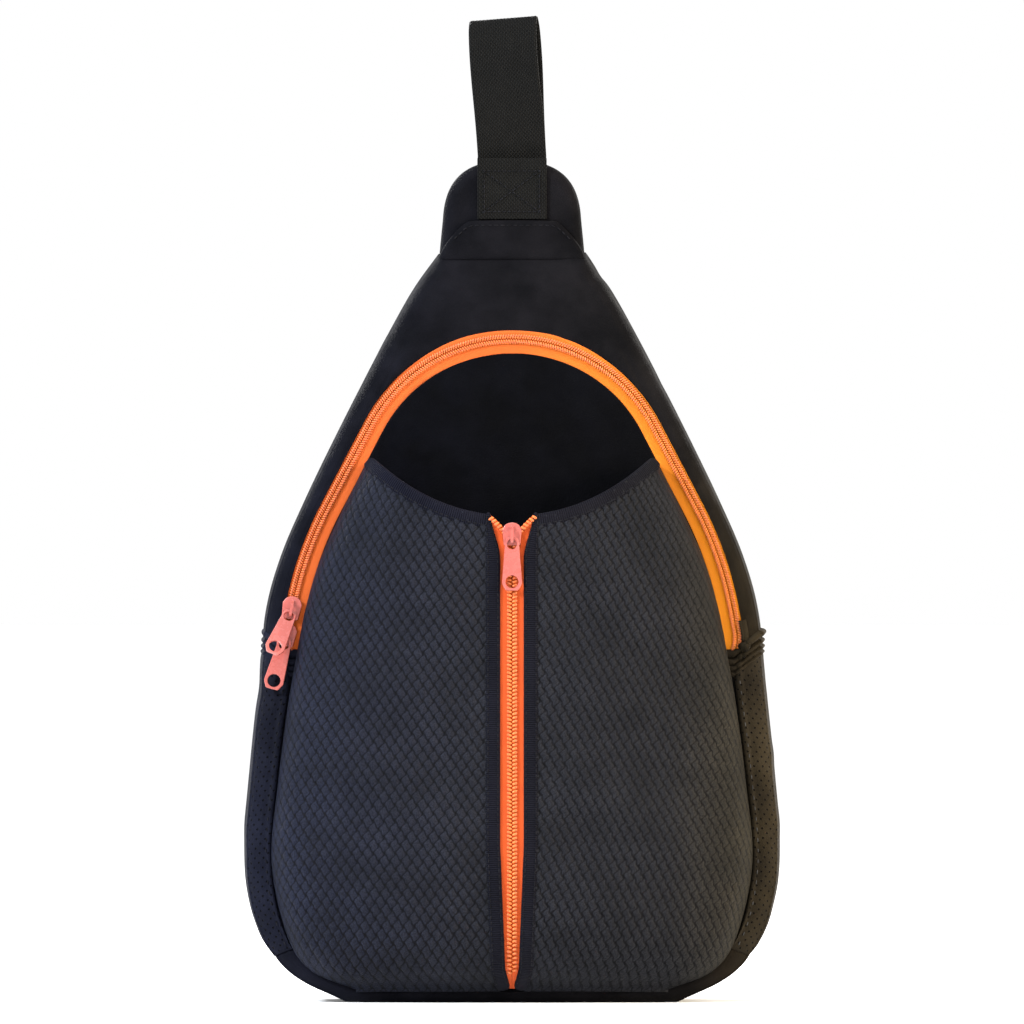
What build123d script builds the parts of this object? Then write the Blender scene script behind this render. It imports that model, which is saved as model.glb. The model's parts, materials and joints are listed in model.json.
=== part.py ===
from build123d import *
import os
from math import atan, cos, pi, radians, sin, tan

os.makedirs("parts", exist_ok=True)

# A soft sling bag for paddles.  Millimetres, +Z up, the front faces -Y, and the
# origin is under the middle of the bag on the surface that it stands on.

# ---------------------------------------------------------------- main body
BODY_TOP = 404.0        # where the padded yoke leaves the body
NECK_HALF = 39.5        # half the width at the top of the body
BODY_STATIONS = [       # height and half width, from the base up to the neck
    (0, 88), (15, 118), (35, 134.5), (60, 142.4), (90, 143.7), (130, 140.6), (170, 136.6),
    (210, 132.6), (240, 124.5), (270, 111.8), (300, 97.5), (330, 82.5), (360, 67), (385, 53),
    (BODY_TOP, NECK_HALF),
]
DEPTH_BASE = 72.0       # front to back at the base
DEPTH_TOP = 26.0        # front to back at the neck
Y_BACK = 41.6           # outer face of the back panel
WALL = 3.0              # neoprene thickness
EDGE_R = 10.0           # rounding between front and sides
BASE_SEAM_Z = 25.0      # seam between base panel and side gussets
GUSSET_TOP_Z = 178.0    # seam under the two zip end tabs
GUSSET_GAP = 0.15       # half the gap between sewn neighbours

# ---------------------------------------------------------------- yoke and grab loop
YOKE_TOP = 455.0
YOKE_CORNER_R = 32.0
YOKE_T = 14.0
WEB_T = 1.6             # webbing thickness
LOOP_W = 38.0           # 1.5 in webbing
LOOP_TOP = 532.0
LOOP_BULGE = 15.0       # widest opening of the loop, front to back
LOOP_LIFT = 2.6         # room under the loop's foot to fold over

# ---------------------------------------------------------------- zips
COIL_T = 1.6            # coil thickness
COIL_IN, COIL_OUT = 0.95, 2.7   # a coil row's near and far edge from the chain's centre
TAPE_T = 0.8
CROWN_R = 86.4          # chain radius over the top of the arch
CROWN_V = 273.8         # height of the arc's centre on the slanted front
LEG_ANGLE = 27.5        # the arch's legs from the vertical
LEG_LENGTH = 80.0
FOOT_ANGLE = 10.5       # the last stretch of each leg
ZIP_END_V = 191.0
BAND_OUT, BAND_IN = 4.7, 8.0    # visible tape outside and inside the chain's centre
KNEE_R = 25.0
FLAP_V = 299.5          # fold line of the crown flap

# ---------------------------------------------------------------- front pocket
POCKET_BULGE = 38.0     # how far the pocket stands proud of the front panel
POCKET_T = 3.0
MOUTH_V = 259.0         # mouth edge at the centre
MOUTH_HALF = 76.0       # from the centre to the mouth's corners
MOUTH_DIP = 35.0        # how far the middle of the mouth lies below its corners
HEM_W = 6.5
ZIP_GAP = 6.2           # half the width of the zip that shows in the pocket
BINDING_W = 7.8
CHAIN_W = POCKET_BULGE - 1.4    # chain's middle, measured out from the front panel
SLIDER_V = 249.5        # pocket slider, closed

# ---------------------------------------------------------------- sliders and pulls
PLATE_T = 1.3
PLATE_GAP = 1.25        # from the chain's middle to a plate
POST_HALF = 0.6
BRIDGE_HALF = 0.8
BRIDGE_TOP = 6.2
PULL_T = 1.5
PULL_L = 29.5
PULL_PIVOT = Vector(0, -2.3, 3.75)
UPPER_SLIDER_V, LOWER_SLIDER_V = 213.5, 199.0
UPPER_LEAN, LOWER_LEAN = 12.0, 5.0      # the pulls hang to the left of the chain
UPPER_LIFT = 25.0       # the upper pull lies over the lower slider

# ---------------------------------------------------------------- shoulder strap, at the back
STRAP_T = 8.0
STRAP_TOP_HALF, STRAP_END_HALF = 34.0, 24.0
STRAP_SEAM_Z = 436.0
STRAP_END_Z = 172.0
STRAP_GAP = 8.5         # between back panel and strap
STRAP_BEND_R = 8.0      # inside of the strap's turn over the yoke
STRAP_WEB_HALF = 12.5   # 1 in webbing
WEB_GAP = 3.4           # between the webbing's two layers
BAR_Z = 101.0           # the buckle's bar, in the fold of the webbing
ADJUSTER_Z = 130.0
BAR_R = 1.3             # the bars that webbing goes round
ANCHOR_X, ANCHOR_Z = 104.0, 74.0    # the lower anchor's bar
ANCHOR_OUT = 5.4        # the bar behind the back panel
TAB_LEG = 18.0

ALPHA = atan((DEPTH_BASE - DEPTH_TOP) / BODY_TOP)
SLOPE = tan(ALPHA)

# On the slanted front, local x is across, local y runs up the slope, z points out.
FRONT = Plane(
    origin=(0, Y_BACK - DEPTH_BASE, 0),
    x_dir=(1, 0, 0),
    z_dir=(0, -cos(ALPHA), sin(ALPHA)),
)


def slab(face, low, high):
    """A face of the local XY plane, thickened from low to high along local Z."""
    return extrude(Pos(0, 0, low) * face, high - low, dir=(0, 0, 1))


def block(x0, x1, y0, y1, z0, z1):
    return Pos((x0 + x1) / 2, (y0 + y1) / 2, (z0 + z1) / 2) * Box(x1 - x0, y1 - y0, z1 - z0)


def both(shape):
    """The right-hand piece and its mirror image on the left."""
    return {"right": shape, "left": mirror(shape, about=Plane.YZ)}


def body_section(z, half, inset):
    """The main compartment cut level at height z: square behind, rounded in front."""
    back = Y_BACK - inset
    front = Y_BACK - DEPTH_BASE + z * SLOPE + inset
    r = EDGE_R - inset
    bevel = r * (1 - cos(pi / 4))
    return Pos(0, 0, z) * make_face([
        Line((-half, back), (half, back)),
        Line((half, back), (half, front + r)),
        ThreePointArc((half, front + r), (half - bevel, front + bevel), (half - r, front)),
        Line((half - r, front), (r - half, front)),
        ThreePointArc((r - half, front), (bevel - half, front + bevel), (-half, front + r)),
        Line((-half, front + r), (-half, back)),
    ])


def body_solid(inset=0.0):
    """The main compartment's shape, shrunk by inset on every side."""
    heights = [max(inset, min(z, BODY_TOP - inset)) for z, half in BODY_STATIONS]
    halves = [half - inset for z, half in BODY_STATIONS]
    return loft([body_section(z, half, inset) for z, half in zip(heights, halves)])


def arch_face(off):
    """What lies inside the zip's arch, its edge moved out by off from the chain."""
    a, f = radians(LEG_ANGLE), radians(FOOT_ANGLE)
    n_leg = Vector(cos(a), sin(a))
    n_foot = Vector(cos(f), sin(f))
    start = Vector(0, CROWN_V) + n_leg * CROWN_R
    knee = start + Vector(sin(a), -cos(a)) * LEG_LENGTH
    knee_off = knee + (n_leg + n_foot) * (off / (1 + n_leg.dot(n_foot)))
    top = start + n_leg * off
    end_x = knee_off.X + (knee_off.Y - ZIP_END_V) * tan(f)
    leg = FilletPolyline(top, knee_off, (end_x, ZIP_END_V), radius=KNEE_R + off)
    crown = ThreePointArc(top, (0, CROWN_V + CROWN_R + off), (-top.X, top.Y))
    foot = Line((-end_x, ZIP_END_V), (end_x, ZIP_END_V))
    return make_face([leg, crown, mirror(leg, about=Plane.YZ), foot])


def panel_face():
    """The front panel behind the pocket, below the zip's two ends."""
    side = Spline(
        (84, 7), (108, 17), (123, 40), (129.6, 76), (126.5, 120), (118.6, ZIP_END_V),
        tangents=[(1, 0.1), (-0.06, 1)],
    )
    left = mirror(side, about=Plane.YZ)
    low = Line((-84, 7), (84, 7))
    high = Line((-118.6, ZIP_END_V), (118.6, ZIP_END_V))
    return make_face([side, left, low, high])


def mouth_face(drop=0.0):
    """Everything above the pocket's curved mouth, moved down by drop."""
    side, high = MOUTH_HALF, MOUTH_V + MOUTH_DIP - drop
    edge = ThreePointArc((-side, high), (0, MOUTH_V - drop), (side, high))
    box = Polyline((side, high), (side + 60, high + 50), (-side - 60, high + 50), (-side, high))
    return make_face([edge, box])


# ---------------------------------------------------------------- main compartment
def compartment():
    outer, inner = body_solid(), body_solid(WALL)
    back = block(-160, 160, Y_BACK - WALL, Y_BACK + 1, -5, BODY_TOP + 5)
    arch = FRONT * slab(arch_face(BAND_OUT), -WALL - 2, 30)
    panel = FRONT * slab(panel_face(), -WALL - 2, 30)
    ring = outer - inner - back - arch - panel
    tab_top = ZIP_END_V * cos(ALPHA)
    levels = [-5, BASE_SEAM_Z, GUSSET_TOP_Z, tab_top, BODY_TOP + 5]
    low, sides, tabs, upper = [
        ring & block(-160, 160, -200, 200, a + GUSSET_GAP, b - GUSSET_GAP)
        for a, b in zip(levels, levels[1:])
    ]
    right = block(0, 160, -200, 200, -5, 500)
    left = block(-160, 0, -200, 200, -5, 500)
    return {
        "back_panel": outer & back,
        "base_panel": low,
        "side_gusset_right": sides & right,
        "side_gusset_left": sides & left,
        "zip_end_tab_right": tabs & right,
        "zip_end_tab_left": tabs & left,
        "upper_shell": upper,
    }


def front_panels():
    inside = arch_face(-BAND_IN)
    above = Pos(0, FLAP_V + 100) * Rectangle(300, 200)
    below = Pos(0, FLAP_V - 100.3) * Rectangle(300, 200)
    return {
        "front_panel": FRONT * (slab(panel_face(), -WALL, 0) + slab(inside & below, -WALL, 0)),
        "crown_flap": FRONT * slab(inside & above, -WALL, 0),
    }


# ---------------------------------------------------------------- yoke and grab loop
def yoke_y():
    """The yoke's middle plane, centred in the neck."""
    return Y_BACK - DEPTH_TOP / 2


def yoke():
    shoulder = (37.5, YOKE_TOP - YOKE_CORNER_R)
    side = Line((NECK_HALF, BODY_TOP + 0.3), shoulder)
    crown = Bezier(shoulder, (36, YOKE_TOP - 10), (25, YOKE_TOP), (0, YOKE_TOP))
    floor = Line((-NECK_HALF, BODY_TOP + 0.3), (NECK_HALF, BODY_TOP + 0.3))
    half = [side, crown]
    face = make_face(half + [mirror(edge, about=Plane.YZ) for edge in half] + [floor])
    plane = Plane(origin=(0, yoke_y(), 0), x_dir=(1, 0, 0), z_dir=(0, -1, 0))
    return plane * slab(face, -YOKE_T / 2, YOKE_T / 2)


def shell_tongue():
    """The front shell's seam allowance, which rises in front of the yoke."""
    face = make_face(Polyline(
        (-NECK_HALF, BODY_TOP + 0.3), (NECK_HALF, BODY_TOP + 0.3),
        (25, BODY_TOP + 18), (-25, BODY_TOP + 18), close=True,
    ))
    front = yoke_y() - YOKE_T / 2 - 0.2
    plane = Plane(origin=(0, front, 0), x_dir=(1, 0, 0), z_dir=(0, -1, 0))
    return plane * slab(face, 0, WALL)


def loop_profile(inset):
    """The loop seen from the side: a drop that stands on the yoke."""
    foot = YOKE_TOP + LOOP_LIFT + inset
    half = LOOP_BULGE / 2 - inset
    top = LOOP_TOP - inset
    side = Spline((WEB_T * 1.3 - inset * 0.8, foot), (half, top - 22), (0, top),
                  tangents=[(0.15, 1), (-1, 0)])
    left = mirror(side, about=Plane.YZ)
    base = Line((-(WEB_T * 1.3 - inset * 0.8), foot), (WEB_T * 1.3 - inset * 0.8, foot))
    return make_face([side, left, base])


def grab_loop():
    across = Plane(origin=(0, yoke_y(), 0), x_dir=(0, 1, 0), z_dir=(1, 0, 0))
    drop = loop_profile(0) - loop_profile(WEB_T)
    loop = across * slab(drop, -LOOP_W / 2, LOOP_W / 2)
    tail_y = yoke_y() - YOKE_T / 2 - 0.2
    tail = block(-LOOP_W / 2, LOOP_W / 2, tail_y - WEB_T, tail_y, BODY_TOP + 19, YOKE_TOP)
    return {"grab_loop": loop, "grab_loop_tail": tail}


# ---------------------------------------------------------------- arch zip
def arch_zip():
    above = Pos(0, FLAP_V + 100) * Rectangle(400, 200)
    low = Pos(0, FLAP_V - 100.3) * Rectangle(400, 200)
    sides = {"crown": above, "right": low & Pos(100, 200) * Rectangle(200, 600),
             "left": low & Pos(-100, 200) * Rectangle(200, 600)}
    outer_tape = arch_face(BAND_OUT) - arch_face(COIL_IN)
    outer_coil = arch_face(COIL_OUT) - arch_face(COIL_IN)
    inner_tape = arch_face(-COIL_IN) - arch_face(-BAND_IN)
    inner_coil = arch_face(-COIL_IN) - arch_face(-COIL_OUT)
    tape_w, coil_w = (-1.6, -1.6 + TAPE_T), (-0.8, -0.8 + COIL_T)
    parts = {
        "arch_zip_outer_tape": FRONT * slab(outer_tape, *tape_w),
        "arch_zip_outer_coil": FRONT * slab(outer_coil, *coil_w),
    }
    for name, part in sides.items():
        parts["arch_zip_inner_tape_" + name] = FRONT * slab(inner_tape & part, *tape_w)
        parts["arch_zip_inner_coil_" + name] = FRONT * slab(inner_coil & part, *coil_w)
    return parts


# ---------------------------------------------------------------- pocket
def pocket_section(v, half, bulge):
    """Across the pocket at height v: steep at its side seams, nearly flat in the middle."""
    right = Bezier((half, 0), (half, 0.9 * bulge), (0.6 * half, bulge), (0, bulge))
    left = Bezier((0, bulge), (-0.6 * half, bulge), (-half, 0.9 * bulge), (-half, 0))
    face = make_face([right, left, Line((-half, 0), (half, 0))])
    return Plane(origin=(0, v, 0), x_dir=(1, 0, 0), z_dir=(0, -1, 0)) * face


def pocket_dome(thin):
    """The pocket's outer shape, or the space inside it when thin is its wall."""
    stations = [
        (7 + thin, 84, 5), (17 + thin * 0.7, 108, 20), (36, 121, 32), (76, 129.6, POCKET_BULGE),
        (120, 126.0, POCKET_BULGE), (160, 121.0, POCKET_BULGE), (ZIP_END_V, 115.8, POCKET_BULGE),
        (215, 111.0, POCKET_BULGE), (240, 103.5, POCKET_BULGE), (270, 90.0, POCKET_BULGE),
        (304, 72.5, POCKET_BULGE),
    ]
    return loft([pocket_section(v, half - thin, bulge - thin) for v, half, bulge in stations])


def pocket():
    wall = pocket_dome(0) - pocket_dome(POCKET_T)
    wall -= slab(mouth_face(), -5, 80)
    vee = make_face(Polyline((-ZIP_GAP, SLIDER_V - 3), (-12, MOUTH_V + 6), (12, MOUTH_V + 6),
                             (ZIP_GAP, SLIDER_V - 3), close=True))
    slot = Pos(0, 130) * Rectangle(2 * ZIP_GAP, 300)
    wall -= slab(slot, 2, 60) + slab(vee, 2, 60)
    bind_zone = slab(Pos(0, 130) * Rectangle(2 * (ZIP_GAP + BINDING_W), 300), -5, 60)
    hem_zone = slab(mouth_face(HEM_W), -5, 80)
    bind_gap = slab(Pos(0, 130) * Rectangle(2 * (ZIP_GAP + BINDING_W + 0.15), 300), -5, 60)
    hem_gap = slab(mouth_face(HEM_W + 0.15), -5, 80)
    right = block(0.05, 160, -20, 420, -5, 80)
    bindings = (wall & bind_zone) - hem_gap
    hems = wall & hem_zone
    panels = wall - bind_gap - hem_gap
    parts = {}
    for name, whole in {"panel": panels, "hem": hems, "zip_binding": bindings}.items():
        for side, shape in both(whole & right).items():
            parts[f"pocket_{name}_{side}"] = FRONT * shape
    return parts


def pocket_chain(x0, x1, low, high):
    """A strip of the pocket's zip that runs down the front and curls in at the foot."""
    def line(at):
        return [(7.5, 6 + at - POCKET_BULGE + 1), (17, 21 + at - POCKET_BULGE),
                (36, 32.3 + at - POCKET_BULGE), (72, at)]

    lower, upper = line(low), line(high)
    top_v = MOUTH_V - 7
    edge_low = Spline(*lower, tangents=[(0.35, 1), (1, 0)])
    edge_high = Spline(*upper, tangents=[(0.35, 1), (1, 0)])
    rest = Polyline(lower[-1], (top_v, low), (top_v, high), upper[-1])
    foot = Line(lower[0], upper[0])
    face = make_face([edge_low, rest, edge_high, foot])
    return Plane(origin=(0, 0, 0), x_dir=(0, 1, 0), z_dir=(1, 0, 0)) * slab(face, x0, x1)


def pocket_zip():
    parts = {}
    tape = pocket_chain(COIL_IN, ZIP_GAP - 0.1, CHAIN_W - 0.8 - TAPE_T, CHAIN_W - 0.8)
    coil = pocket_chain(COIL_IN, COIL_OUT, CHAIN_W - 0.8, CHAIN_W + 0.8)
    arm_face = make_face(Polyline((COIL_IN, MOUTH_V - 7), (COIL_OUT, MOUTH_V - 7), (10.0, MOUTH_V + 1.6),
                                  (8.6, MOUTH_V + 2.6), close=True))
    arm = slab(arm_face, CHAIN_W - 0.8, CHAIN_W + 0.8)
    for side, shape in both(tape).items():
        parts["pocket_zip_tape_" + side] = FRONT * shape
    for side, shape in both(coil + arm).items():
        parts["pocket_zip_coil_" + side] = FRONT * shape
    return parts


# ---------------------------------------------------------------- sliders and pulls
def slider_body():
    """A coil slider: two plates joined by a post at the nose, and a bridge on top."""
    outline = make_face([
        ThreePointArc((-3.9, 5.0), (0, 6.4), (3.9, 5.0)),
        Line((3.9, 5.0), (5.3, 2.6)), Line((5.3, 2.6), (4.4, -6.0)),
        Line((4.4, -6.0), (-4.4, -6.0)), Line((-4.4, -6.0), (-5.3, 2.6)),
        Line((-5.3, 2.6), (-3.9, 5.0)),
    ])
    outline = fillet(outline.vertices(), 0.9)
    top = slab(outline, PLATE_GAP, PLATE_GAP + PLATE_T)
    top = fillet(top.faces().sort_by(Axis.Z)[-1].edges(), 0.5)
    bottom = slab(outline & Rectangle(8.6, 20), -2.0 - PLATE_T, -2.0)
    post = block(-POST_HALF, POST_HALF, 2.0, 5.4, -2.0, PLATE_GAP)
    arch = make_face(Polyline(
        (-4.9, PLATE_GAP + PLATE_T), (-4.9, BRIDGE_TOP - 1.0), (-3.9, BRIDGE_TOP),
        (2.2, BRIDGE_TOP), (4.6, PLATE_GAP + PLATE_T), (2.6, PLATE_GAP + PLATE_T),
        (1.4, BRIDGE_TOP - 1.3), (-3.7, BRIDGE_TOP - 1.3), (-3.7, PLATE_GAP + PLATE_T), close=True,
    ))
    upright = Plane(origin=(0, 0, 0), x_dir=(0, 1, 0), z_dir=(1, 0, 0))
    bridge = upright * slab(arch, -BRIDGE_HALF, BRIDGE_HALF)
    return top + bottom + post + bridge


def pull_tab(lean=0.0, lift=0.0):
    """A tapered tab with a ring at the slider and a round hole near its end."""
    tip = -PULL_L + 1.2
    outline = make_face(Polyline((-3.0, 0.6), (3.0, 0.6), (3.7, -2.4), (5.4, -24.5), (3.4, tip),
                                 (-3.4, tip), (-5.4, -24.5), (-3.7, -2.4), close=True))
    outline = fillet(outline.vertices(), 1.6)
    ring = Pos(0, -3.3) * Circle(2.7)
    hole = Pos(0, -23.6) * Circle(3.5)
    tab = slab(outline - ring - hole, -PULL_T / 2, PULL_T / 2)
    rims = tab.faces().filter_by(Axis.Z)
    tab = chamfer(rims.edges(), 0.25)
    return Pos(*PULL_PIVOT) * Rot(0, 0, -lean) * Rot(-lift, 0, 0) * tab


def chain_place(v):
    """A frame on the left foot of the arch's chain at height v, its y axis up the chain."""
    a, f = radians(LEG_ANGLE), radians(FOOT_ANGLE)
    knee_x = CROWN_R * cos(a) + LEG_LENGTH * sin(a)
    knee_v = CROWN_V + CROWN_R * sin(a) - LEG_LENGTH * cos(a)
    return Pos(-(knee_x + (knee_v - v) * tan(f)), v, 0) * Rot(0, 0, -FOOT_ANGLE)


def sliders():
    place = FRONT * (Pos(0, SLIDER_V, CHAIN_W) * slider_body())
    upper, lower = chain_place(UPPER_SLIDER_V), chain_place(LOWER_SLIDER_V)
    return {
        "pocket_slider": place,
        "pocket_pull": FRONT * (Pos(0, SLIDER_V, CHAIN_W) * pull_tab()),
        "arch_slider_upper": FRONT * (upper * slider_body()),
        "arch_pull_upper": FRONT * (upper * pull_tab(UPPER_LEAN, UPPER_LIFT)),
        "arch_slider_lower": FRONT * (lower * slider_body()),
        "arch_pull_lower": FRONT * (lower * pull_tab(LOWER_LEAN)),
    }


# ---------------------------------------------------------------- shoulder strap
def side_view(face, x0, x1):
    """A face drawn as (y, z), thickened along X."""
    return Plane(origin=(0, 0, 0), x_dir=(0, 1, 0), z_dir=(1, 0, 0)) * slab(face, x0, x1)


def shoulder_strap():
    seam_y = yoke_y() + YOKE_T / 2 + 0.3
    near, far = Y_BACK + STRAP_GAP, Y_BACK + STRAP_GAP + STRAP_T
    z = STRAP_SEAM_Z
    face = make_face(Polyline(
        (seam_y, z - STRAP_T / 2), (seam_y, z + STRAP_T / 2), (far, z + STRAP_T / 2),
        (far, STRAP_END_Z), (near, STRAP_END_Z), (near, z - STRAP_T / 2), close=True,
    ))
    inner = face.vertices().filter_by(lambda p: abs(p.X - near) < 0.1 and p.Y > z - 5)
    face = fillet(inner, STRAP_BEND_R)
    outer = face.vertices().filter_by(lambda p: abs(p.X - far) < 0.1 and p.Y > z)
    face = fillet(outer, STRAP_BEND_R + STRAP_T)
    pad = side_view(face, -STRAP_TOP_HALF, STRAP_TOP_HALF)
    taper = make_face(Polyline(
        (-STRAP_TOP_HALF, z + 10), (STRAP_TOP_HALF, z + 10), (STRAP_TOP_HALF, 330),
        (STRAP_END_HALF, STRAP_END_Z + 20), (STRAP_WEB_HALF + 2, STRAP_END_Z),
        (-STRAP_WEB_HALF - 2, STRAP_END_Z), (-STRAP_END_HALF, STRAP_END_Z + 20),
        (-STRAP_TOP_HALF, 330), close=True,
    ))
    plane = Plane(origin=(0, Y_BACK + 60, 0), x_dir=(1, 0, 0), z_dir=(0, -1, 0))
    return pad & (plane * slab(taper, 0, 120))


def strap_middle():
    return Y_BACK + STRAP_GAP + STRAP_T / 2


def strap_webbing():
    """The strap's webbing: down, round the buckle's bar, and up again to its sewn end."""
    near = strap_middle()
    far = near + WEB_GAP
    run_top, tail_top = STRAP_END_Z - 0.2, ADJUSTER_Z + 26
    run = Pos(near - WEB_T / 2, (BAR_Z + run_top) / 2) * Rectangle(WEB_T, run_top - BAR_Z)
    tail = Pos(far + WEB_T / 2, (BAR_Z + tail_top) / 2) * Rectangle(WEB_T, tail_top - BAR_Z)
    ring = Circle(WEB_GAP / 2 + WEB_T) - Circle(WEB_GAP / 2)
    bend = Pos(near + WEB_GAP / 2, BAR_Z) * (ring & Pos(0, -10) * Rectangle(20, 20))
    return side_view(run + tail + bend, -STRAP_WEB_HALF, STRAP_WEB_HALF)


def adjuster():
    """A three-bar slide: its end bars lie outside the two webbing layers, its middle bar between."""
    y = strap_middle()
    clear, bar, rail = 0.35, 2.0, 2.2
    half = STRAP_WEB_HALF + 2 * clear
    reach = half + 1
    rear, ahead = y + WEB_GAP + WEB_T + clear, y - WEB_T - clear
    low, high = ADJUSTER_Z - 11, ADJUSTER_Z + 11
    frame = block(-half - rail, -half, ahead - bar, rear + bar, low, high)
    frame += block(half, half + rail, ahead - bar, rear + bar, low, high)
    for z in (ADJUSTER_Z - 9.4, ADJUSTER_Z + 6.4):
        frame += block(-reach, reach, rear, rear + bar, z, z + 3)
        frame += block(-reach, reach, ahead - bar, ahead, z, z + 3)
    frame += block(-reach, reach, y + clear, y + WEB_GAP - clear, ADJUSTER_Z - 2, ADJUSTER_Z + 2)
    return frame


def buckle_male():
    """The half with two spring arms, hung by its bar in the fold of the webbing."""
    y = strap_middle() + WEB_GAP / 2
    body = block(-16, 16, y - 3, y + 3, BAR_Z - 22, BAR_Z - 7)
    body = fillet(body.edges().filter_by(Axis.X), 1.5)
    cheeks = block(-16, -13.2, y - 2, y + 2, BAR_Z - 8, BAR_Z + 2.5)
    cheeks += block(13.2, 16, y - 2, y + 2, BAR_Z - 8, BAR_Z + 2.5)
    bar = Pos(0, y, BAR_Z) * Rot(0, 90, 0) * Cylinder(BAR_R, 29)
    arm = make_face(Polyline(
        (8, 0), (12.4, 0), (13.2, -16), (11.2, -22), (8.4, -22), (9.2, -14), close=True,
    ))
    plane = Plane(origin=(0, y, BAR_Z - 21.9), x_dir=(1, 0, 0), z_dir=(0, -1, 0))
    arms = plane * slab(arm + mirror(arm, about=Plane.YZ), -2.2, 2.2)
    guide = block(-1.5, 1.5, y - 1.6, y + 1.6, BAR_Z - 40, BAR_Z - 21.9)
    return body + cheeks + bar + arms + guide


def buckle_female():
    """The socket half: a flat box, open at its lower end, with side windows."""
    top = ANCHOR_Z - 6
    y = Y_BACK + ANCHOR_OUT
    body = block(-16.5, 16.5, y - 4.3, y + 4.3, top - 27, top)
    body = fillet(body.edges().filter_by(Axis.Z), 2.5)
    body -= block(-14.3, 14.3, y - 2.6, y + 2.6, top - 28, top - 3)
    for side in (-1, 1):
        body -= block(side * 16 - 2, side * 16 + 2, y - 2.6, y + 2.6, top - 19, top - 9)
    cheeks = block(-16.5, -13.4, y - 2, y + 2, top - 1, top + 8)
    cheeks += block(13.4, 16.5, y - 2, y + 2, top - 1, top + 8)
    bar = Pos(0, y, ANCHOR_Z) * Rot(0, 90, 0) * Cylinder(BAR_R, 29)
    return Pos(ANCHOR_X, 0, 0) * (body + cheeks + bar)


def anchor_tab():
    """The webbing tab in the back seam that holds the buckle's socket half."""
    y, z, r = Y_BACK + ANCHOR_OUT, ANCHOR_Z, WEB_GAP / 2
    ring = Circle(r + WEB_T) - Circle(r)
    fold = Pos(y, z) * (ring & Pos(0, -10) * Rectangle(20, 20))
    near = Pos(y - r - WEB_T / 2, z + TAB_LEG / 2) * Rectangle(WEB_T, TAB_LEG)
    far = Pos(y + r + WEB_T / 2, z + TAB_LEG / 2) * Rectangle(WEB_T, TAB_LEG)
    top, rear = z + TAB_LEG, y + r + WEB_T
    sewn = make_face(Polyline(
        (Y_BACK, top), (rear, top), (rear - 0.5, top + 3), (Y_BACK, top + 12), close=True,
    ))
    return Pos(ANCHOR_X, 0, 0) * side_view(fold + near + far + sewn, -STRAP_WEB_HALF, STRAP_WEB_HALF)


def strap_parts():
    return {
        "shoulder_strap": shoulder_strap(),
        "strap_webbing": strap_webbing(),
        "strap_adjuster": adjuster(),
        "buckle_male": buckle_male(),
        "buckle_female": buckle_female(),
        "anchor_tab": anchor_tab(),
    }


nodes = {}
nodes.update(compartment())
nodes.update(front_panels())
nodes["yoke"] = yoke()
nodes["shell_tongue"] = shell_tongue()
nodes.update(grab_loop())
nodes.update(arch_zip())
nodes.update(pocket())
nodes.update(pocket_zip())
nodes.update(sliders())
nodes.update(strap_parts())

for name, shape in nodes.items():
    shape.label = name
    export_step(shape, f"parts/{name}.step")
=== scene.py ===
import json
from math import atan2, cos, pi, sin

import bpy
import numpy as np
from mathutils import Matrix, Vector


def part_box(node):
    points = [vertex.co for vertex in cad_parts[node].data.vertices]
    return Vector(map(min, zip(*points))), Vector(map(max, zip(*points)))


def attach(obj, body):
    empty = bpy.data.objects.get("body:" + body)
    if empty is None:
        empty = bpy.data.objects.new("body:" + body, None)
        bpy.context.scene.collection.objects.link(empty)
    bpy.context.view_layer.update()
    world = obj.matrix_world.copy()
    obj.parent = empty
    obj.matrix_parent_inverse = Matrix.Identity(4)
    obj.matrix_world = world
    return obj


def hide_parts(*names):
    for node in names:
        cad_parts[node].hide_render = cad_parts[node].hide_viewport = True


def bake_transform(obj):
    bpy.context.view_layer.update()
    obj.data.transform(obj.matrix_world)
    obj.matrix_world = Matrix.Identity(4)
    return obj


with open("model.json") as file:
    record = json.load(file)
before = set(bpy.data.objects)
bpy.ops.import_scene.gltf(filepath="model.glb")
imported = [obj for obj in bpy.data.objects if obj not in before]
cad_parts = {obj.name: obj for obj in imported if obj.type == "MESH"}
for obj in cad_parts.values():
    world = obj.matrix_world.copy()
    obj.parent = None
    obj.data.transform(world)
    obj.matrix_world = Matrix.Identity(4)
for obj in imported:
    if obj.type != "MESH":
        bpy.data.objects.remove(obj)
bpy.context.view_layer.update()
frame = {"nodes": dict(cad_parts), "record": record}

MM = 0.001
FLOOR_GAP = 0.3                                  # the cloth's least height above the floor, in mm
WORD = {1: "right", -1: "left"}                  # the sides, by the sign of x

# ---------------------------------------------------------------- sizes read from the frame, in mm
def span(node):
    """A CAD node's lowest and highest corners in millimetres."""
    low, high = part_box(node)
    return np.array(low) / MM, np.array(high) / MM


BACK_LOW, BACK_HIGH = span("back_panel")
Y_BACK = BACK_HIGH[1]
BODY_TOP = BACK_HIGH[2]
WALL = BACK_HIGH[1] - BACK_LOW[1]
YOKE_LOW, YOKE_HIGH = span("yoke")
YOKE_Y = (YOKE_LOW[1] + YOKE_HIGH[1]) / 2
LOOP_LOW, LOOP_HIGH = span("grab_loop")
STRAP_LOW, STRAP_HIGH = span("shoulder_strap")
WEBBING_LOW, WEBBING_HIGH = span("strap_webbing")
TAB_LOW, TAB_HIGH = span("anchor_tab")
Y_FRONT = span("base_panel")[0][1]              # the front panel's plane at the base
SLOPE = (YOKE_Y - 13.0 - Y_FRONT) / BODY_TOP    # the front leans back by this much per mm
ALPHA = atan2(SLOPE, 1.0)

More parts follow.
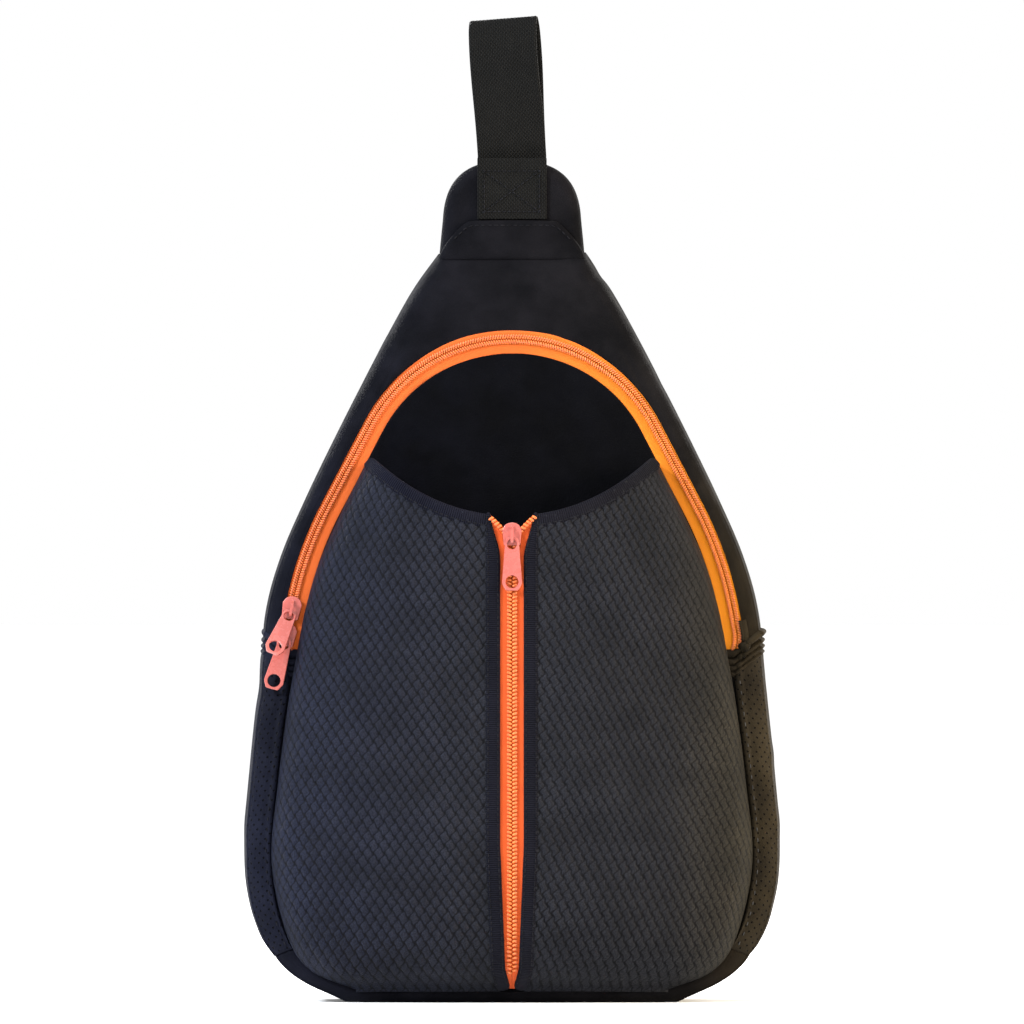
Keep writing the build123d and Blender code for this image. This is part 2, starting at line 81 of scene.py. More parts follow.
# The zips' and the pocket's own sizes, the same as the CAD model's.
CROWN_R, CROWN_V = 86.4, 273.8
KNEE_SWEEP = 200.0
FOOT_CURL, CURL_FROM = 2.6, 10.0
LEG_ANGLE, LEG_LENGTH, FOOT_ANGLE = 27.5, 80.0, 10.5
ZIP_END_V = 191.0
BAND_OUT, BAND_IN = 4.7, 8.0
TAPE_COVER = 1.2                                 # how far the shell's edge lies over the outer tape
MOUTH_V, MOUTH_HALF, MOUTH_DIP = 259.0, 76.0, 35.0
BULGE = 38.0
POCKET_LOW, POCKET_FOOT = 5.6, 6.0                # lowest edge of the pocket's cloth and of its zip
BINDING_HALF, BINDING_SWING = 3.9, 2.5           # half of the binding's width; how far its top swings aside
CELL = {1: (5.4, 10.0), -1: (6.0, 8.6)}          # the embossed cell's width and height
OGEE = {1: 0.12, -1: -0.06}                      # how far the cells' edges wave
ARCH_PITCH = 1.35
POCKET_PITCH = 2.1
SLIDER_V = 245.0                                 # where the centre zip begins to open
KNIT_RIBS = 1.15                                 # pitch of the knit's ribs


def front(x, v, w):
    """A point of the slanted front: x across, v up the slope, w outward; all in millimetres."""
    x, v, w = np.broadcast_arrays(np.asarray(x, float), np.asarray(v, float), np.asarray(w, float))
    y = Y_FRONT + v * sin(ALPHA) - w * cos(ALPHA)
    z = v * cos(ALPHA) + w * sin(ALPHA)
    return np.stack([x, y, z], axis=-1)


FRONT_OUT = np.array([0.0, -cos(ALPHA), sin(ALPHA)])
FRONT_UP = np.array([0.0, sin(ALPHA), cos(ALPHA)])


# ---------------------------------------------------------------- curves
def through(points, steps=12):
    """A smooth Catmull-Rom curve through the points."""
    p = np.asarray(points, float)
    p = np.vstack([2 * p[0] - p[1], p, 2 * p[-1] - p[-2]])
    out = []
    for a, b, c, d in zip(p, p[1:], p[2:], p[3:]):
        for t in np.arange(steps) / steps:
            out.append(0.5 * (2 * b + (c - a) * t + (2 * a - 5 * b + 4 * c - d) * t ** 2
                              + (3 * b - a - 3 * c + d) * t ** 3))
    out.append(p[-2])
    return np.array(out)


def lengths(path):
    """How far along the path each of its points lies."""
    return np.concatenate([[0], np.cumsum(np.linalg.norm(np.diff(path, axis=0), axis=1))])


def resample(path, count=None, step=None):
    """The same path with evenly spaced points."""
    s = lengths(path)
    n = count or max(2, int(round(s[-1] / step)) + 1)
    at = np.linspace(0, s[-1], n)
    return np.stack([np.interp(at, s, path[:, i]) for i in range(path.shape[1])], axis=1)


def smoothstep(t):
    """0 to 1 with soft ends."""
    t = np.clip(t, 0, 1)
    return t * t * (3 - 2 * t)


def unit(v):
    """The same directions, one long."""
    return v / np.maximum(np.linalg.norm(v, axis=-1, keepdims=True), 1e-9)


def tangents(path):
    """The direction along a path at each of its points."""
    return unit(np.gradient(path, axis=0))


def mirrored(path):
    """The left half of a symmetric outline from its right half, which starts on the middle."""
    left = path[::-1] * np.array([-1] + [1] * (path.shape[1] - 1))
    return np.vstack([left[:-1], path])


# ---------------------------------------------------------------- outlines
BODY_STATIONS = [
    (88, 0), (118, 15), (134.5, 35), (142.4, 60), (143.7, 90), (140.6, 130), (136.6, 170),
    (132.6, 210), (124.5, 240), (111.8, 270), (97.5, 300), (82.5, 330), (67, 360), (53, 385),
    (39.5, BODY_TOP),
]
PANEL_STATIONS = [(84, 7), (108, 17), (123, 40), (129.6, 76), (126.5, 120), (119.8, 176)]


def arch_side(off):
    """The right half of the arch moved out by off from the chain: crown to foot, as (x, v)."""
    a, f = np.radians(LEG_ANGLE), np.radians(FOOT_ANGLE)
    n_leg, n_foot = np.array([cos(a), sin(a)]), np.array([cos(f), sin(f)])
    centre = np.array([0, CROWN_V])
    turn = np.linspace(pi / 2, a, 40)
    crown = centre + (CROWN_R + off) * np.stack([np.cos(turn), np.sin(turn)], axis=1)
    knee = centre + n_leg * CROWN_R + np.array([sin(a), -cos(a)]) * LEG_LENGTH
    sweep = np.linspace(a, f, 14)
    bend = knee - (n_leg + n_foot) * KNEE_SWEEP / (1 + n_leg @ n_foot)
    bend = bend + (KNEE_SWEEP + off) * np.stack([np.cos(sweep), np.sin(sweep)], axis=1)
    drop = (bend[-1][1] - ZIP_END_V) / cos(f)
    foot = bend[-1] + np.array([sin(f), -cos(f)]) * drop * np.linspace(0, 1, 16)[1:, None]
    foot[:, 0] -= FOOT_CURL * np.clip(1 - (foot[:, 1] - ZIP_END_V) / CURL_FROM, 0, 1) ** 2
    return np.vstack([crown, bend, foot])


def body_outline():
    """The bag's outline, right half, from the middle of the base to the middle of the neck."""
    side = through(BODY_STATIONS, 10)
    return np.vstack([[[0, 0], [44, 0]], side, [[20, BODY_TOP], [0, BODY_TOP]]])


def front_outline():
    """Where the shell meets the pocket and then the zip, right half, as (x, v)."""
    low = through(PANEL_STATIONS, 10)
    high = arch_side(BAND_OUT - TAPE_COVER)[::-1]
    return np.vstack([[[0, 6], [42, 6]], low, high])


# ---------------------------------------------------------------- the pocket's shape
DOME_V = [7, 17, 36, 76, 120, 160, ZIP_END_V, 215, 240, 270, 304]
DOME_HALF = [84, 108, 121, 129.6, 126, 121, 115.8, 111, 103.5, 90, 72.5]
DOME_BULGE = [5, 20, 32, BULGE, BULGE, BULGE, BULGE, BULGE, BULGE, BULGE, BULGE]


HALF_CURVE = through(list(zip(DOME_V, DOME_HALF)), 8)
BULGE_CURVE = through(list(zip(DOME_V, DOME_BULGE)), 8)


def dome_half(v):
    """Half of the pocket's width at height v."""
    return np.interp(v, HALF_CURVE[:, 0], HALF_CURVE[:, 1])


def dome_bulge(v):
    """How far the pocket's middle stands proud at height v."""
    return np.minimum(np.interp(v, BULGE_CURVE[:, 0], BULGE_CURVE[:, 1]), BULGE)


def dome(x, v):
    """How far the pocket stands proud of the front at (x, v), with the cloth's soft waves."""
    r = np.clip(np.abs(x) / dome_half(v), 0, 1)
    shape = (1 - r ** 2.7) ** (1 / 2.1)
    waves = 0.9 * np.sin(v / 23 + np.sign(x) * 1.3) * np.sin(np.abs(x) / 21 + 0.6)
    waves += 0.6 * np.sin(v / 9.5 + x / 17)
    calm = smoothstep((np.abs(x) - 16) / 25) * smoothstep((1 - r) * 4)
    return dome_bulge(v) * shape + waves * calm - 0.2


def mouth_v(x):
    """The height of the mouth's curved edge at x."""
    radius = (MOUTH_HALF ** 2 + MOUTH_DIP ** 2) / (2 * MOUTH_DIP)
    return MOUTH_V + radius - np.sqrt(np.maximum(radius ** 2 - np.asarray(x, float) ** 2, 1))


# ---------------------------------------------------------------- mesh makers
def make_mesh(name, points, faces, material, uvs=None):
    """A mesh object from points in millimetres, with a UV map in millimetres."""
    mesh = bpy.data.meshes.new(name)
    mesh.from_pydata((np.asarray(points) * MM).tolist(), [], faces)
    if uvs is not None:
        layer = mesh.uv_layers.new(name="cloth")
        index = np.empty(len(mesh.loops), dtype=np.int32)
        mesh.loops.foreach_get("vertex_index", index)
        layer.data.foreach_set("uv", np.asarray(uvs, float)[index].ravel())
    mesh.validate()
    mesh.shade_smooth()
    mesh.materials.append(material)
    obj = bpy.data.objects.new(name, mesh)
    bpy.context.collection.objects.link(obj)
    return obj


def grid_faces(rows, columns, first=0, closed=False, flip=False):
    """Quads of a rows by columns grid; closed joins the last column to the first."""
    i = np.arange(rows - 1)[:, None]
    j = np.arange(columns if closed else columns - 1)[None, :]
    k = (j + 1) % columns
    quads = np.stack([i * columns + j, i * columns + k, (i + 1) * columns + k, (i + 1) * columns + j], axis=-1)
    quads = quads.reshape(-1, 4) + first
    return (quads[:, ::-1] if flip else quads).tolist()


def sheet_mesh(name, points, material, thick=0.0, uvs=None, flip=False):
    """A cloth surface from a grid of points, held above the floor; thick gives it a back, on the inner side."""
    points = points.copy()
    points[..., 2] = np.maximum(points[..., 2], FLOOR_GAP)
    rows, columns = points.shape[:2]
    obj = make_mesh(name, points.reshape(-1, 3), grid_faces(rows, columns, flip=flip), material,
                    None if uvs is None else uvs.reshape(-1, 2))
    if thick:
        solid = obj.modifiers.new("thickness", "SOLIDIFY")
        solid.thickness = thick * MM
        solid.offset = -1
        solid.use_even_offset = False
    return obj


def tube_faces(rows, columns, caps=True, flip=False):
    """Faces of a swept closed section, with its two ends."""
    faces = grid_faces(rows, columns, closed=True, flip=flip)
    if caps:
        faces += [list(range(columns))[::-1], [(rows - 1) * columns + j for j in range(columns)]]
    return faces


def tape_section(thick=0.8, corner=0.4, count=7):
    """A flat tape's cross-section, 1 mm wide and thinner at its edges."""
    a = np.linspace(-1, 1, count)
    top = thick / 2 * np.where(np.abs(a) == 1, 1 - corner, 1.0)
    return np.vstack([np.stack([a / 2, top], axis=1), np.stack([a[::-1] / 2, -top[::-1]], axis=1)])


def repeated(vector, count):
    """One direction, once for each point of a path."""
    return np.repeat(np.array([vector], float), count, axis=0)


def facing(vectors, side):
    """The same directions, turned where needed so that they point to one side."""
    return np.where(vectors[:, :1] * side < 0, -vectors, vectors)


def round_end(gone, radius, least):
    """The share of its width that a strip keeps at gone from its rounded end."""
    return np.sqrt(np.clip(1 - np.maximum(1 - gone / radius, 0) ** 2, least, 1))


def closed_outline(half, step):
    """A closed outline, evenly spaced, from its right half."""
    half = np.asarray(half, float)
    return resample(np.vstack([half, (half * np.array([-1, 1]))[::-1][1:]]), step=step)[:-1]


def resize_rows(rows, count):
    """The same directions, spread over another number of points."""
    at, old = np.linspace(0, 1, count), np.linspace(0, 1, len(rows))
    return unit(np.stack([np.interp(at, old, rows[:, i]) for i in range(3)], axis=1))


def join_meshes(name, parts, material):
    """One object from several (points, faces) pairs."""
    points, faces, first = [], [], 0
    for p, f in parts:
        points.append(p)
        faces += [[i + first for i in face] for face in f]
        first += len(p)
    return make_mesh(name, np.vstack(points), faces, material)


def bead(centre, along, side, up, length, width, height):
    """A small rounded bar: one stitch or one tooth."""
    points = [centre + along * length * at + side * width / 2 * size * cos(t) + up * height / 2 * size * sin(t)
              for at, size in ((-0.5, 0.35), (-0.3, 0.95), (0.3, 0.95), (0.5, 0.35))
              for t in np.arange(6) * pi / 3]
    return np.array(points), tube_faces(4, 6)


def stitches(name, path, up, material, pitch=3.2, length=2.3, width=0.55, height=0.5):
    """A line of thread stitches along a seam, each pressed a little into the cloth at its ends."""
    n = max(3, int(lengths(path)[-1] / pitch))
    run = resample(np.hstack([path, up]), count=n)
    centre, normal = run[:, :3], unit(run[:, 3:])
    along = tangents(centre)
    side = unit(np.cross(along, normal))
    parts = [bead(c, a, s, u, length, width, height) for c, a, s, u in zip(centre, along, side, normal)]
    return join_meshes(name, parts, material)


def dress(obj, body, slot, *nodes):
    """The piece rides on a body and stands for CAD nodes; slot is not used."""
    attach(obj, body)
    if nodes:
        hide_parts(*nodes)
    return obj


# ---------------------------------------------------------------- materials
class Nodes:
    """Short calls for building one material's node tree."""

    def __init__(self, name):
        self.material = bpy.data.materials.new(name)
        self.material.use_nodes = True
        self.tree = self.material.node_tree
        self.shader = self.tree.nodes["Principled BSDF"]
        self.place = self.tree.nodes.new("ShaderNodeTexCoord")

    def add(self, kind, inputs=(), **settings):
        node = self.tree.nodes.new(kind)
        for key, value in settings.items():
            setattr(node, key, value)
        for key, value in dict(inputs).items():
            self.feed(node.inputs[key], value)
        return node

    def feed(self, socket, value):
        if isinstance(value, bpy.types.NodeSocket):
            self.tree.links.new(value, socket)
        else:
            socket.default_value = value

    def math(self, operation, a, b=0.0):
        return self.add("ShaderNodeMath", {0: a, 1: b}, operation=operation).outputs[0]

    def noise(self, scale, detail=3.0):
        inputs = {"Vector": self.place.outputs["Object"], "Scale": scale, "Detail": detail, "Roughness": 0.55}
        return self.add("ShaderNodeTexNoise", inputs).outputs["Fac"]

    def uneven(self, scale, low, high):
        """A value that drifts between two limits over the surface."""
        return self.range(self.noise(scale), 0.3, 0.7, low, high)

    def cloth(self):
        """The place on the cloth in millimetres: along and across."""
        return self.split(self.add("ShaderNodeUVMap", uv_map="cloth").outputs[0])[:2]

    def painted_side_light(self, reach, stops):
        """Painted light: a colour that changes from the bag's left side to its right, as the cool and warm
        lamps fall.
        """
        x = self.split(self.place.outputs["Object"])[0]
        return self.ramp(self.range(x, -reach, reach), stops)

    def multiply(self, a, b):
        node = self.add("ShaderNodeMix", data_type="RGBA", blend_type="MULTIPLY")
        node.inputs["Factor"].default_value = 1.0
        first, second = [s for s in node.inputs if s.type == "RGBA"]
        self.feed(first, a)
        self.feed(second, b)
        return [s for s in node.outputs if s.type == "RGBA"][0]

    def ramp(self, fac, stops):
        node = self.add("ShaderNodeValToRGB", {"Fac": fac})
        ramp = node.color_ramp
        while len(ramp.elements) < len(stops):
            ramp.elements.new(0.5)
        for element, (at, colour) in zip(ramp.elements, stops):
            element.position = at
            element.color = (*colour, 1)
        return node.outputs["Color"]

    def split(self, vector):
        return self.add("ShaderNodeSeparateXYZ", {"Vector": vector}).outputs

    def range(self, value, low, high, to_low=0.0, to_high=1.0):
        return self.add("ShaderNodeMapRange", {"Value": value, "From Min": low, "From Max": high,
                                               "To Min": to_low, "To Max": to_high}).outputs[0]

    def bump(self, height, distance, strength=1.0, base=None):
        inputs = {"Height": height, "Distance": distance, "Strength": strength}
        if base is not None:
            inputs["Normal"] = base
        return self.add("ShaderNodeBump", inputs).outputs[0]

    def finish(self, colour=None, rough=None, normal=None, **plain):
        for key, value in (("Base Color", colour), ("Roughness", rough), ("Normal", normal)):
            if value is not None:
                self.feed(self.shader.inputs[key], value)
        for key, value in plain.items():
            self.shader.inputs[key.replace("_", " ")].default_value = value
        return self.material


def mottle_and_side_light(n, dark, light):
    """Cloth colour: mottled between two greys, with painted light: cooler towards -X, where the cool lamp
    falls, and warmer towards +X, where the warm lamp falls.
    """
    mottle = n.ramp(n.noise(38.0, 4.0), [(0.35, dark), (0.68, light)])
    # painted light: a cool cast on the left and a warm brown cast on the right stand in for the lamps' colours
    side = n.painted_side_light(0.14, [(0.0, (0.78, 0.92, 1.6)), (0.45, (1, 1, 1.15)), (0.8, (1.15, 1.05, 0.95)),
                              (1.0, (2.9, 2.15, 0.9))])
    return n.multiply(mottle, side)


def knit_height(n, scale):
    """The fine jersey of a neoprene face: tiny cells and short fibres."""
    inputs = {"Vector": n.place.outputs["Object"], "Scale": scale}
    cells = n.add("ShaderNodeTexVoronoi", inputs, distance="MANHATTAN").outputs["Distance"]
    return n.math("ADD", cells, n.noise(scale * 0.8, 2.0))


def neoprene(name="smooth_neoprene", dark=(0.0020, 0.0020, 0.0025), light=(0.0052, 0.0050, 0.0058)):
    """The smooth jersey face of the shell."""
    n = Nodes(name)
    micro = n.bump(knit_height(n, 1500.0), 0.0002, 0.55)
    soft = n.bump(n.noise(60.0, 3.0), 0.0012, 0.35, micro)
    return n.finish(mottle_and_side_light(n, dark, light), n.uneven(120.0, 0.62, 0.8), soft,
                    Sheen_Weight=0.008, Sheen_Roughness=0.35, Specular_IOR_Level=0.03)


def embossed(side):
    """Pocket cloth: slate knit, with painted shade that darkens the grooves between its raised ogee cells and a
    painted highlight on the cells' rims.
    """
    n = Nodes("embossed_neoprene_" + ("right" if side > 0 else "left"))
    a, b = n.cloth()
    cell_w, cell_h = CELL[side]
    drift = n.math("SINE", n.math("ADD", n.math("DIVIDE", a, 31.0), n.math("DIVIDE", b, 47.0)))
    v = n.math("ADD", n.math("DIVIDE", b, cell_h), n.math("MULTIPLY", drift, 0.05))
    wave = n.math("MULTIPLY", n.math("SINE", n.math("MULTIPLY", v, 4 * pi)), OGEE[side])
    u = n.math("ADD", n.math("DIVIDE", a, cell_w), wave)
    first = n.math("COSINE", n.math("MULTIPLY", n.math("ADD", u, v), pi))
    second = n.math("COSINE", n.math("MULTIPLY", n.math("SUBTRACT", u, v), pi))
    pads = n.math("ABSOLUTE", n.math("MULTIPLY", first, second))
    # painted shade in the grooves, and a painted highlight on the cells' rims, a little brighter than their
    # tops
    groove_shade_and_rim_highlight = n.ramp(pads, [(0.0, (0.10, 0.10, 0.12)), (0.14, (0.45, 0.45, 0.47)), (0.34, (1.0, 1.0, 1.0)),
                           (0.55, (0.85, 0.85, 0.85))])
    fibres = n.ramp(n.noise(1500.0, 3.0), [(0.34, (0.45, 0.45, 0.5)), (0.66, (1.6, 1.6, 1.6))])
    colour = mottle_and_side_light(n, (0.0060, 0.0067, 0.0088), (0.0098, 0.0108, 0.0138))
    colour = n.multiply(n.multiply(colour, groove_shade_and_rim_highlight), fibres)
    micro = n.bump(knit_height(n, 1700.0), 0.0003, 0.6)
    return n.finish(colour, n.uneven(140.0, 0.5, 0.65), micro,
                    Sheen_Weight=0.01, Sheen_Roughness=0.3, Specular_IOR_Level=0.08)


def perforated():
    """Neoprene with staggered rows of needle holes, laid out on the cloth's own grid, with painted shade in the
    holes.
    """
    n = Nodes("perforated_neoprene")
    u, v = n.cloth()
    pitch_u, pitch_v, radius = 5.2, 2.5, 0.5
    row = n.math("FLOOR", n.math("DIVIDE", v, pitch_v))
    shift = n.math("MULTIPLY", n.math("MODULO", row, 2.0), pitch_u / 2)
    du = n.math("SUBTRACT", n.math("FRACT", n.math("DIVIDE", n.math("ADD", u, shift), pitch_u)), 0.5)
    dv = n.math("SUBTRACT", n.math("FRACT", n.math("DIVIDE", v, pitch_v)), 0.5)
    du, dv = n.math("MULTIPLY", du, pitch_u), n.math("MULTIPLY", dv, pitch_v)
    far = n.math("SQRT", n.math("ADD", n.math("MULTIPLY", du, du), n.math("MULTIPLY", dv, dv)))
    solid = n.range(far, radius * 0.6, radius * 1.25)
    solid.node.clamp = True
    base = mottle_and_side_light(n, (0.0035, 0.0035, 0.0045), (0.0075, 0.0075, 0.009))
    # painted shade: each needle hole is darkened to near black
    holes = n.ramp(solid, [(0.0, (0.03, 0.03, 0.03)), (1.0, (1, 1, 1))])
    dent = n.bump(solid, 0.0009, 1.0, n.bump(knit_height(n, 1500.0), 0.0002, 0.5))
    return n.finish(n.multiply(base, holes), n.uneven(120.0, 0.6, 0.8), dent,
                    Sheen_Weight=0.008, Sheen_Roughness=0.35, Specular_IOR_Level=0.04)


def ribbed(name, along, across, dark, light, depth=0.0003, rough=(0.6, 0.8), sheen=0.01, gloss=0.04, kind_and_side_light=""):
    """Woven or knitted strip: ribs along its length crossed by finer yarns, with painted shade where the yarns
    lie low.
    """
    n = Nodes(name)
    u, v = n.cloth()
    warp = n.math("SINE", n.math("MULTIPLY", v, 2 * pi / across))
    phase = n.math("MULTIPLY", n.math("SIGN", warp), pi / 2)
    weft = n.math("SINE", n.math("ADD", n.math("MULTIPLY", u, 2 * pi / along), phase))
    if kind_and_side_light == "knit":                            # ribs straight across the strip
        height = n.math("ABSOLUTE", n.math("SINE", n.math("MULTIPLY", u, pi / along)))
    else:
        yarns = n.math("MULTIPLY", n.math("ABSOLUTE", warp), 0.6)
        height = n.math("ADD", yarns, n.math("MULTIPLY", weft, 0.35))
    fuzz = n.math("ADD", height, n.math("MULTIPLY", n.noise(2500.0, 2.0), 0.5))
    normal = n.bump(fuzz, depth, 0.9)
    # painted shade: the colour darkens with the yarns' height, lowest between the ribs, with a random mottle
    shade = n.range(n.math("ADD", height, n.math("MULTIPLY", n.noise(90.0, 3.0), 0.5)), -0.2, 1.2)
    colour = n.ramp(shade, [(0.1, dark), (0.85, light)])
    if kind_and_side_light == "zip":
        # painted light: the zip tape turns warm yellow towards the right, where the warm lamp falls
        side = n.painted_side_light(0.13, [(0.0, (1.0, 0.85, 1.1)), (0.5, (1, 0.85, 1.0)), (0.75, (1.15, 1.45, 0.6)),
                                  (1.0, (1.3, 2.0, 0.25))])
        colour = n.multiply(colour, side)
    elif kind_and_side_light == "knit":
        colour = n.multiply(colour, mottle_and_side_light(n, (0.7, 0.7, 0.72), (1.0, 1.0, 1.0)))
    return n.finish(colour, n.uneven(200.0, *rough), normal,
                    Sheen_Weight=sheen, Sheen_Roughness=0.4, Specular_IOR_Level=gloss)


def coil_plastic():
    """The nylon of the zips' teeth, with painted warm light that makes it more yellow on the right side of the
    bag.
    """
    n = Nodes("coil_nylon")
    # painted light: more yellow towards the right, where the warm lamp falls
    side = n.painted_side_light(0.13, [(0.0, (0.66, 0.140, 0.026)), (0.5, (0.66, 0.155, 0.026)),
                              (1.0, (0.68, 0.185, 0.016))])
    wear = n.ramp(n.noise(260.0), [(0.3, (0.82, 0.78, 0.75)), (0.7, (1, 1, 1))])
    normal = n.bump(n.noise(900.0, 2.0), 0.0001, 0.3)
    return n.finish(n.multiply(side, wear), n.uneven(300.0, 0.32, 0.5), normal,
                    Subsurface_Weight=0.08, Subsurface_Scale=0.002)


def painted_metal():
    """Coral enamel over cast zinc: glossy, a little uneven, duller where it is rubbed."""
    n = Nodes("coral_enamel")
    colour = n.ramp(n.noise(70.0, 4.0), [(0.3, (0.345, 0.072, 0.058)), (0.7, (0.380, 0.086, 0.070))])
    rub = n.range(n.noise(420.0, 4.0), 0.45, 0.75, 0.22, 0.45)
    normal = n.bump(n.noise(500.0, 3.0), 0.0002, 0.25)
    return n.finish(colour, rub, normal, Coat_Weight=0.25, Coat_Roughness=0.15)


def black_plastic():
    """Moulded acetal of the buckle and the adjuster."""
    n = Nodes("acetal_black")
    colour = n.ramp(n.noise(150.0, 4.0), [(0.3, (0.012, 0.012, 0.013)), (0.75, (0.028, 0.028, 0.03))])
    grain = n.bump(n.noise(2200.0, 2.0), 0.00015, 0.6)
    return n.finish(colour, n.uneven(180.0, 0.38, 0.55), grain)


def thread(name, dark, light, rough, twisted=False, **plain):
    """Sewing thread; the twisted kind shows its ply."""
    n = Nodes(name)
    colour = n.ramp(n.noise(300.0), [(0.3, dark), (0.7, light)])
    if twisted:
        normal = n.bump(n.math("SINE", n.math("MULTIPLY", n.noise(700.0, 2.0), 30.0)), 0.0002, 0.6)
    else:
        normal = n.bump(n.noise(1200.0), 0.0002, 0.5)
    return n.finish(colour, rough, normal, **plain)


def spacer():
    """Air mesh of the back: a fine open hexagon knit."""
    n = Nodes("spacer_mesh")
    inputs = {"Vector": n.place.outputs["Object"], "Scale": 620.0, "Randomness": 0.15}
    cells = n.add("ShaderNodeTexVoronoi", inputs).outputs["Distance"]
    # painted shade: each cell is darkened towards its middle, where the bump sinks into the mesh's opening
    colour = n.ramp(cells, [(0.25, (0.004, 0.004, 0.005)), (0.6, (0.02, 0.02, 0.022))])
    return n.finish(colour, 0.75, n.bump(cells, 0.0006, 0.8), Sheen_Weight=0.01, Specular_IOR_Level=0.05)


NEOPRENE = neoprene()
EMBOSSED = {side: embossed(side) for side in (1, -1)}
PERFORATED = perforated()
HEM = ribbed("hem_knit", KNIT_RIBS, 1.3, (0.0006, 0.0006, 0.0009), (0.0068, 0.0070, 0.0105), 0.0005,
             kind_and_side_light="knit")
WEBBING = ribbed("nylon_webbing", 2.2, 1.9, (0.0006, 0.0006, 0.0007), (0.0066, 0.0066, 0.0064), 0.0006,
                 (0.5, 0.65))
TAPE = ribbed("zip_tape", 0.9, 0.8, (0.42, 0.068, 0.006), (0.60, 0.135, 0.014), 0.00025, (0.55, 0.7), 0.04, 0.2,
              "zip")
RED_TAPE = ribbed("centre_zip_tape", 0.9, 0.8, (0.40, 0.034, 0.006), (0.70, 0.105, 0.016), 0.0003, (0.5, 0.7),
                  0.03, 0.2)
COIL = coil_plastic()
ENAMEL = painted_metal()
PLASTIC = black_plastic()
THREAD = thread("black_thread", (0.004, 0.004, 0.005), (0.012, 0.012, 0.015), 0.6, True,
                Specular_IOR_Level=0.06)
ORANGE_THREAD = thread("orange_thread", (0.36, 0.05, 0.01), (0.55, 0.12, 0.03), 0.5, Sheen_Weight=0.2)
GREY_THREAD = thread("grey_thread", (0.020, 0.020, 0.022), (0.055, 0.055, 0.055), 0.6, Specular_IOR_Level=0.1)
FOLD = neoprene("folded_neoprene", (0.004, 0.004, 0.0048), (0.0095, 0.0092, 0.0105))
PANEL = neoprene("front_neoprene", (0.0004, 0.00045, 0.0008), (0.0011, 0.0012, 0.0020))
SPACER = spacer()


# ---------------------------------------------------------------- the compartment's shell
def ray_hit(outline, centre, aim):
    """Where the ray from centre through aim first crosses the outline (both in x, v)."""
    d = aim - centre
    a, b = outline[:-1] - centre, outline[1:] - centre
    edge = b - a
    cross = d[0] * edge[:, 1] - d[1] * edge[:, 0]
    cross = np.where(np.abs(cross) < 1e-12, 1e-12, cross)
    t = (a[:, 0] * edge[:, 1] - a[:, 1] * edge[:, 0]) / cross
    k = (a[:, 0] * d[1] - a[:, 1] * d[0]) / cross
    hits = t[(k >= -1e-6) & (k <= 1 + 1e-6) & (t > 0)]
    return centre + d * (hits.min() if len(hits) else 0.9)


OUTLINE = body_outline()
FRONT_EDGE = mirrored(front_outline())


def shell_rib(x, z, normal):
    """One line over the shell, from the back seam over the side to the zip or pocket seam."""
    v = z / cos(ALPHA)
    centre = np.array([0.0, np.clip(v, 70.0, CROWN_V)])
    edge = ray_hit(FRONT_EDGE, centre, np.array([x, v]))
    inward = edge - np.array([x, v])
    reach = np.linalg.norm(inward)
    inward = inward / max(reach, 1e-6)
    roll = min(11.0, 0.92 * reach)
    front_y = front(x, v, 0)[1]
    deep = Y_BACK - front_y
    swell = 1.3 * min(1.0, deep / 60)
    rows = []
    for d, k in ((2.6, 0.004), (1.2, 0.02), (0.3, 0.07), (-0.3, 0.2), (-swell, 0.42), (-0.3, 0.7)):
        y = Y_BACK - 0.8 - k * (deep - roll - 2)
        rows.append([x - normal[0] * d, y, z - normal[1] * d])
    for turn in np.linspace(0.08, 0.5, 6) * pi:
        d, w = roll * (1 - cos(turn)), -roll * (1 - sin(turn))
        at = np.array([x, v]) + inward * d
        rows.append(front(at[0], at[1], w))
    for k in (0.3, 0.6, 0.85, 0.97, 1.0):
        at = np.array([x, v]) + inward * (roll + (reach - roll) * k)
        puff = 0.9 * sin(pi * min(k, 0.9)) if k < 0.97 else -0.5 - 1.0 * (k == 1.0)
        rows.append(front(at[0], at[1], puff * min(1, reach / 12)))
    return through(np.array(rows), 3)


def outline_points(step):
    """Even points round the whole outline, with outward directions, from the left neck down and round."""
    half = resample(OUTLINE, step=step)
    whole = mirrored(half)
    t = tangents(whole)
    return whole, np.stack([t[:, 1], -t[:, 0]], axis=1)


def pinch(ribs, ends, depth=0.9, reach=2):
    """Pulls the ribs at a seam inwards, so that the cloth swells between seams."""
    out = ribs.copy()
    for end, step in ends:
        for k in range(reach + 1):
            i = end + step * k
            centre = np.array([0.0, MIDDLE_Y, ribs[i, :, 2].mean()])
            out[i] = ribs[i] + unit(centre - ribs[i]) * depth * (1 - k / (reach + 1)) ** 1.5
    return out


def cloth_uvs(ribs):
    """UVs in millimetres: along the outline, and over each rib."""
    along = np.mean([lengths(ribs[:, j]) for j in range(0, ribs.shape[1], 4)], axis=0)
    over = np.array([lengths(r) for r in ribs])
    return np.stack([np.repeat(along[:, None], ribs.shape[1], axis=1), over], axis=-1)


def rib_set(side, low, high, step=2.2):
    """Ribs of one side of the outline, or of both, between two heights."""
    points, normals = outline_points(step)
    ribs = [shell_rib(p[0], p[1], n) for p, n in zip(points, normals)
            if low <= p[1] < high and (side == 0 or p[0] * side > 0)]
    return np.array(ribs)


BASE_Z, END_Z = 25.0, ZIP_END_V * cos(ALPHA)      # the base's seam, and the height of the zip's ends
MIDDLE_Y = (Y_BACK + Y_FRONT) / 2
LOW_SEAM, HIGH_SEAM = (0, 1), (-1, -1)            # a sheet's first or last rib, and the step away from it


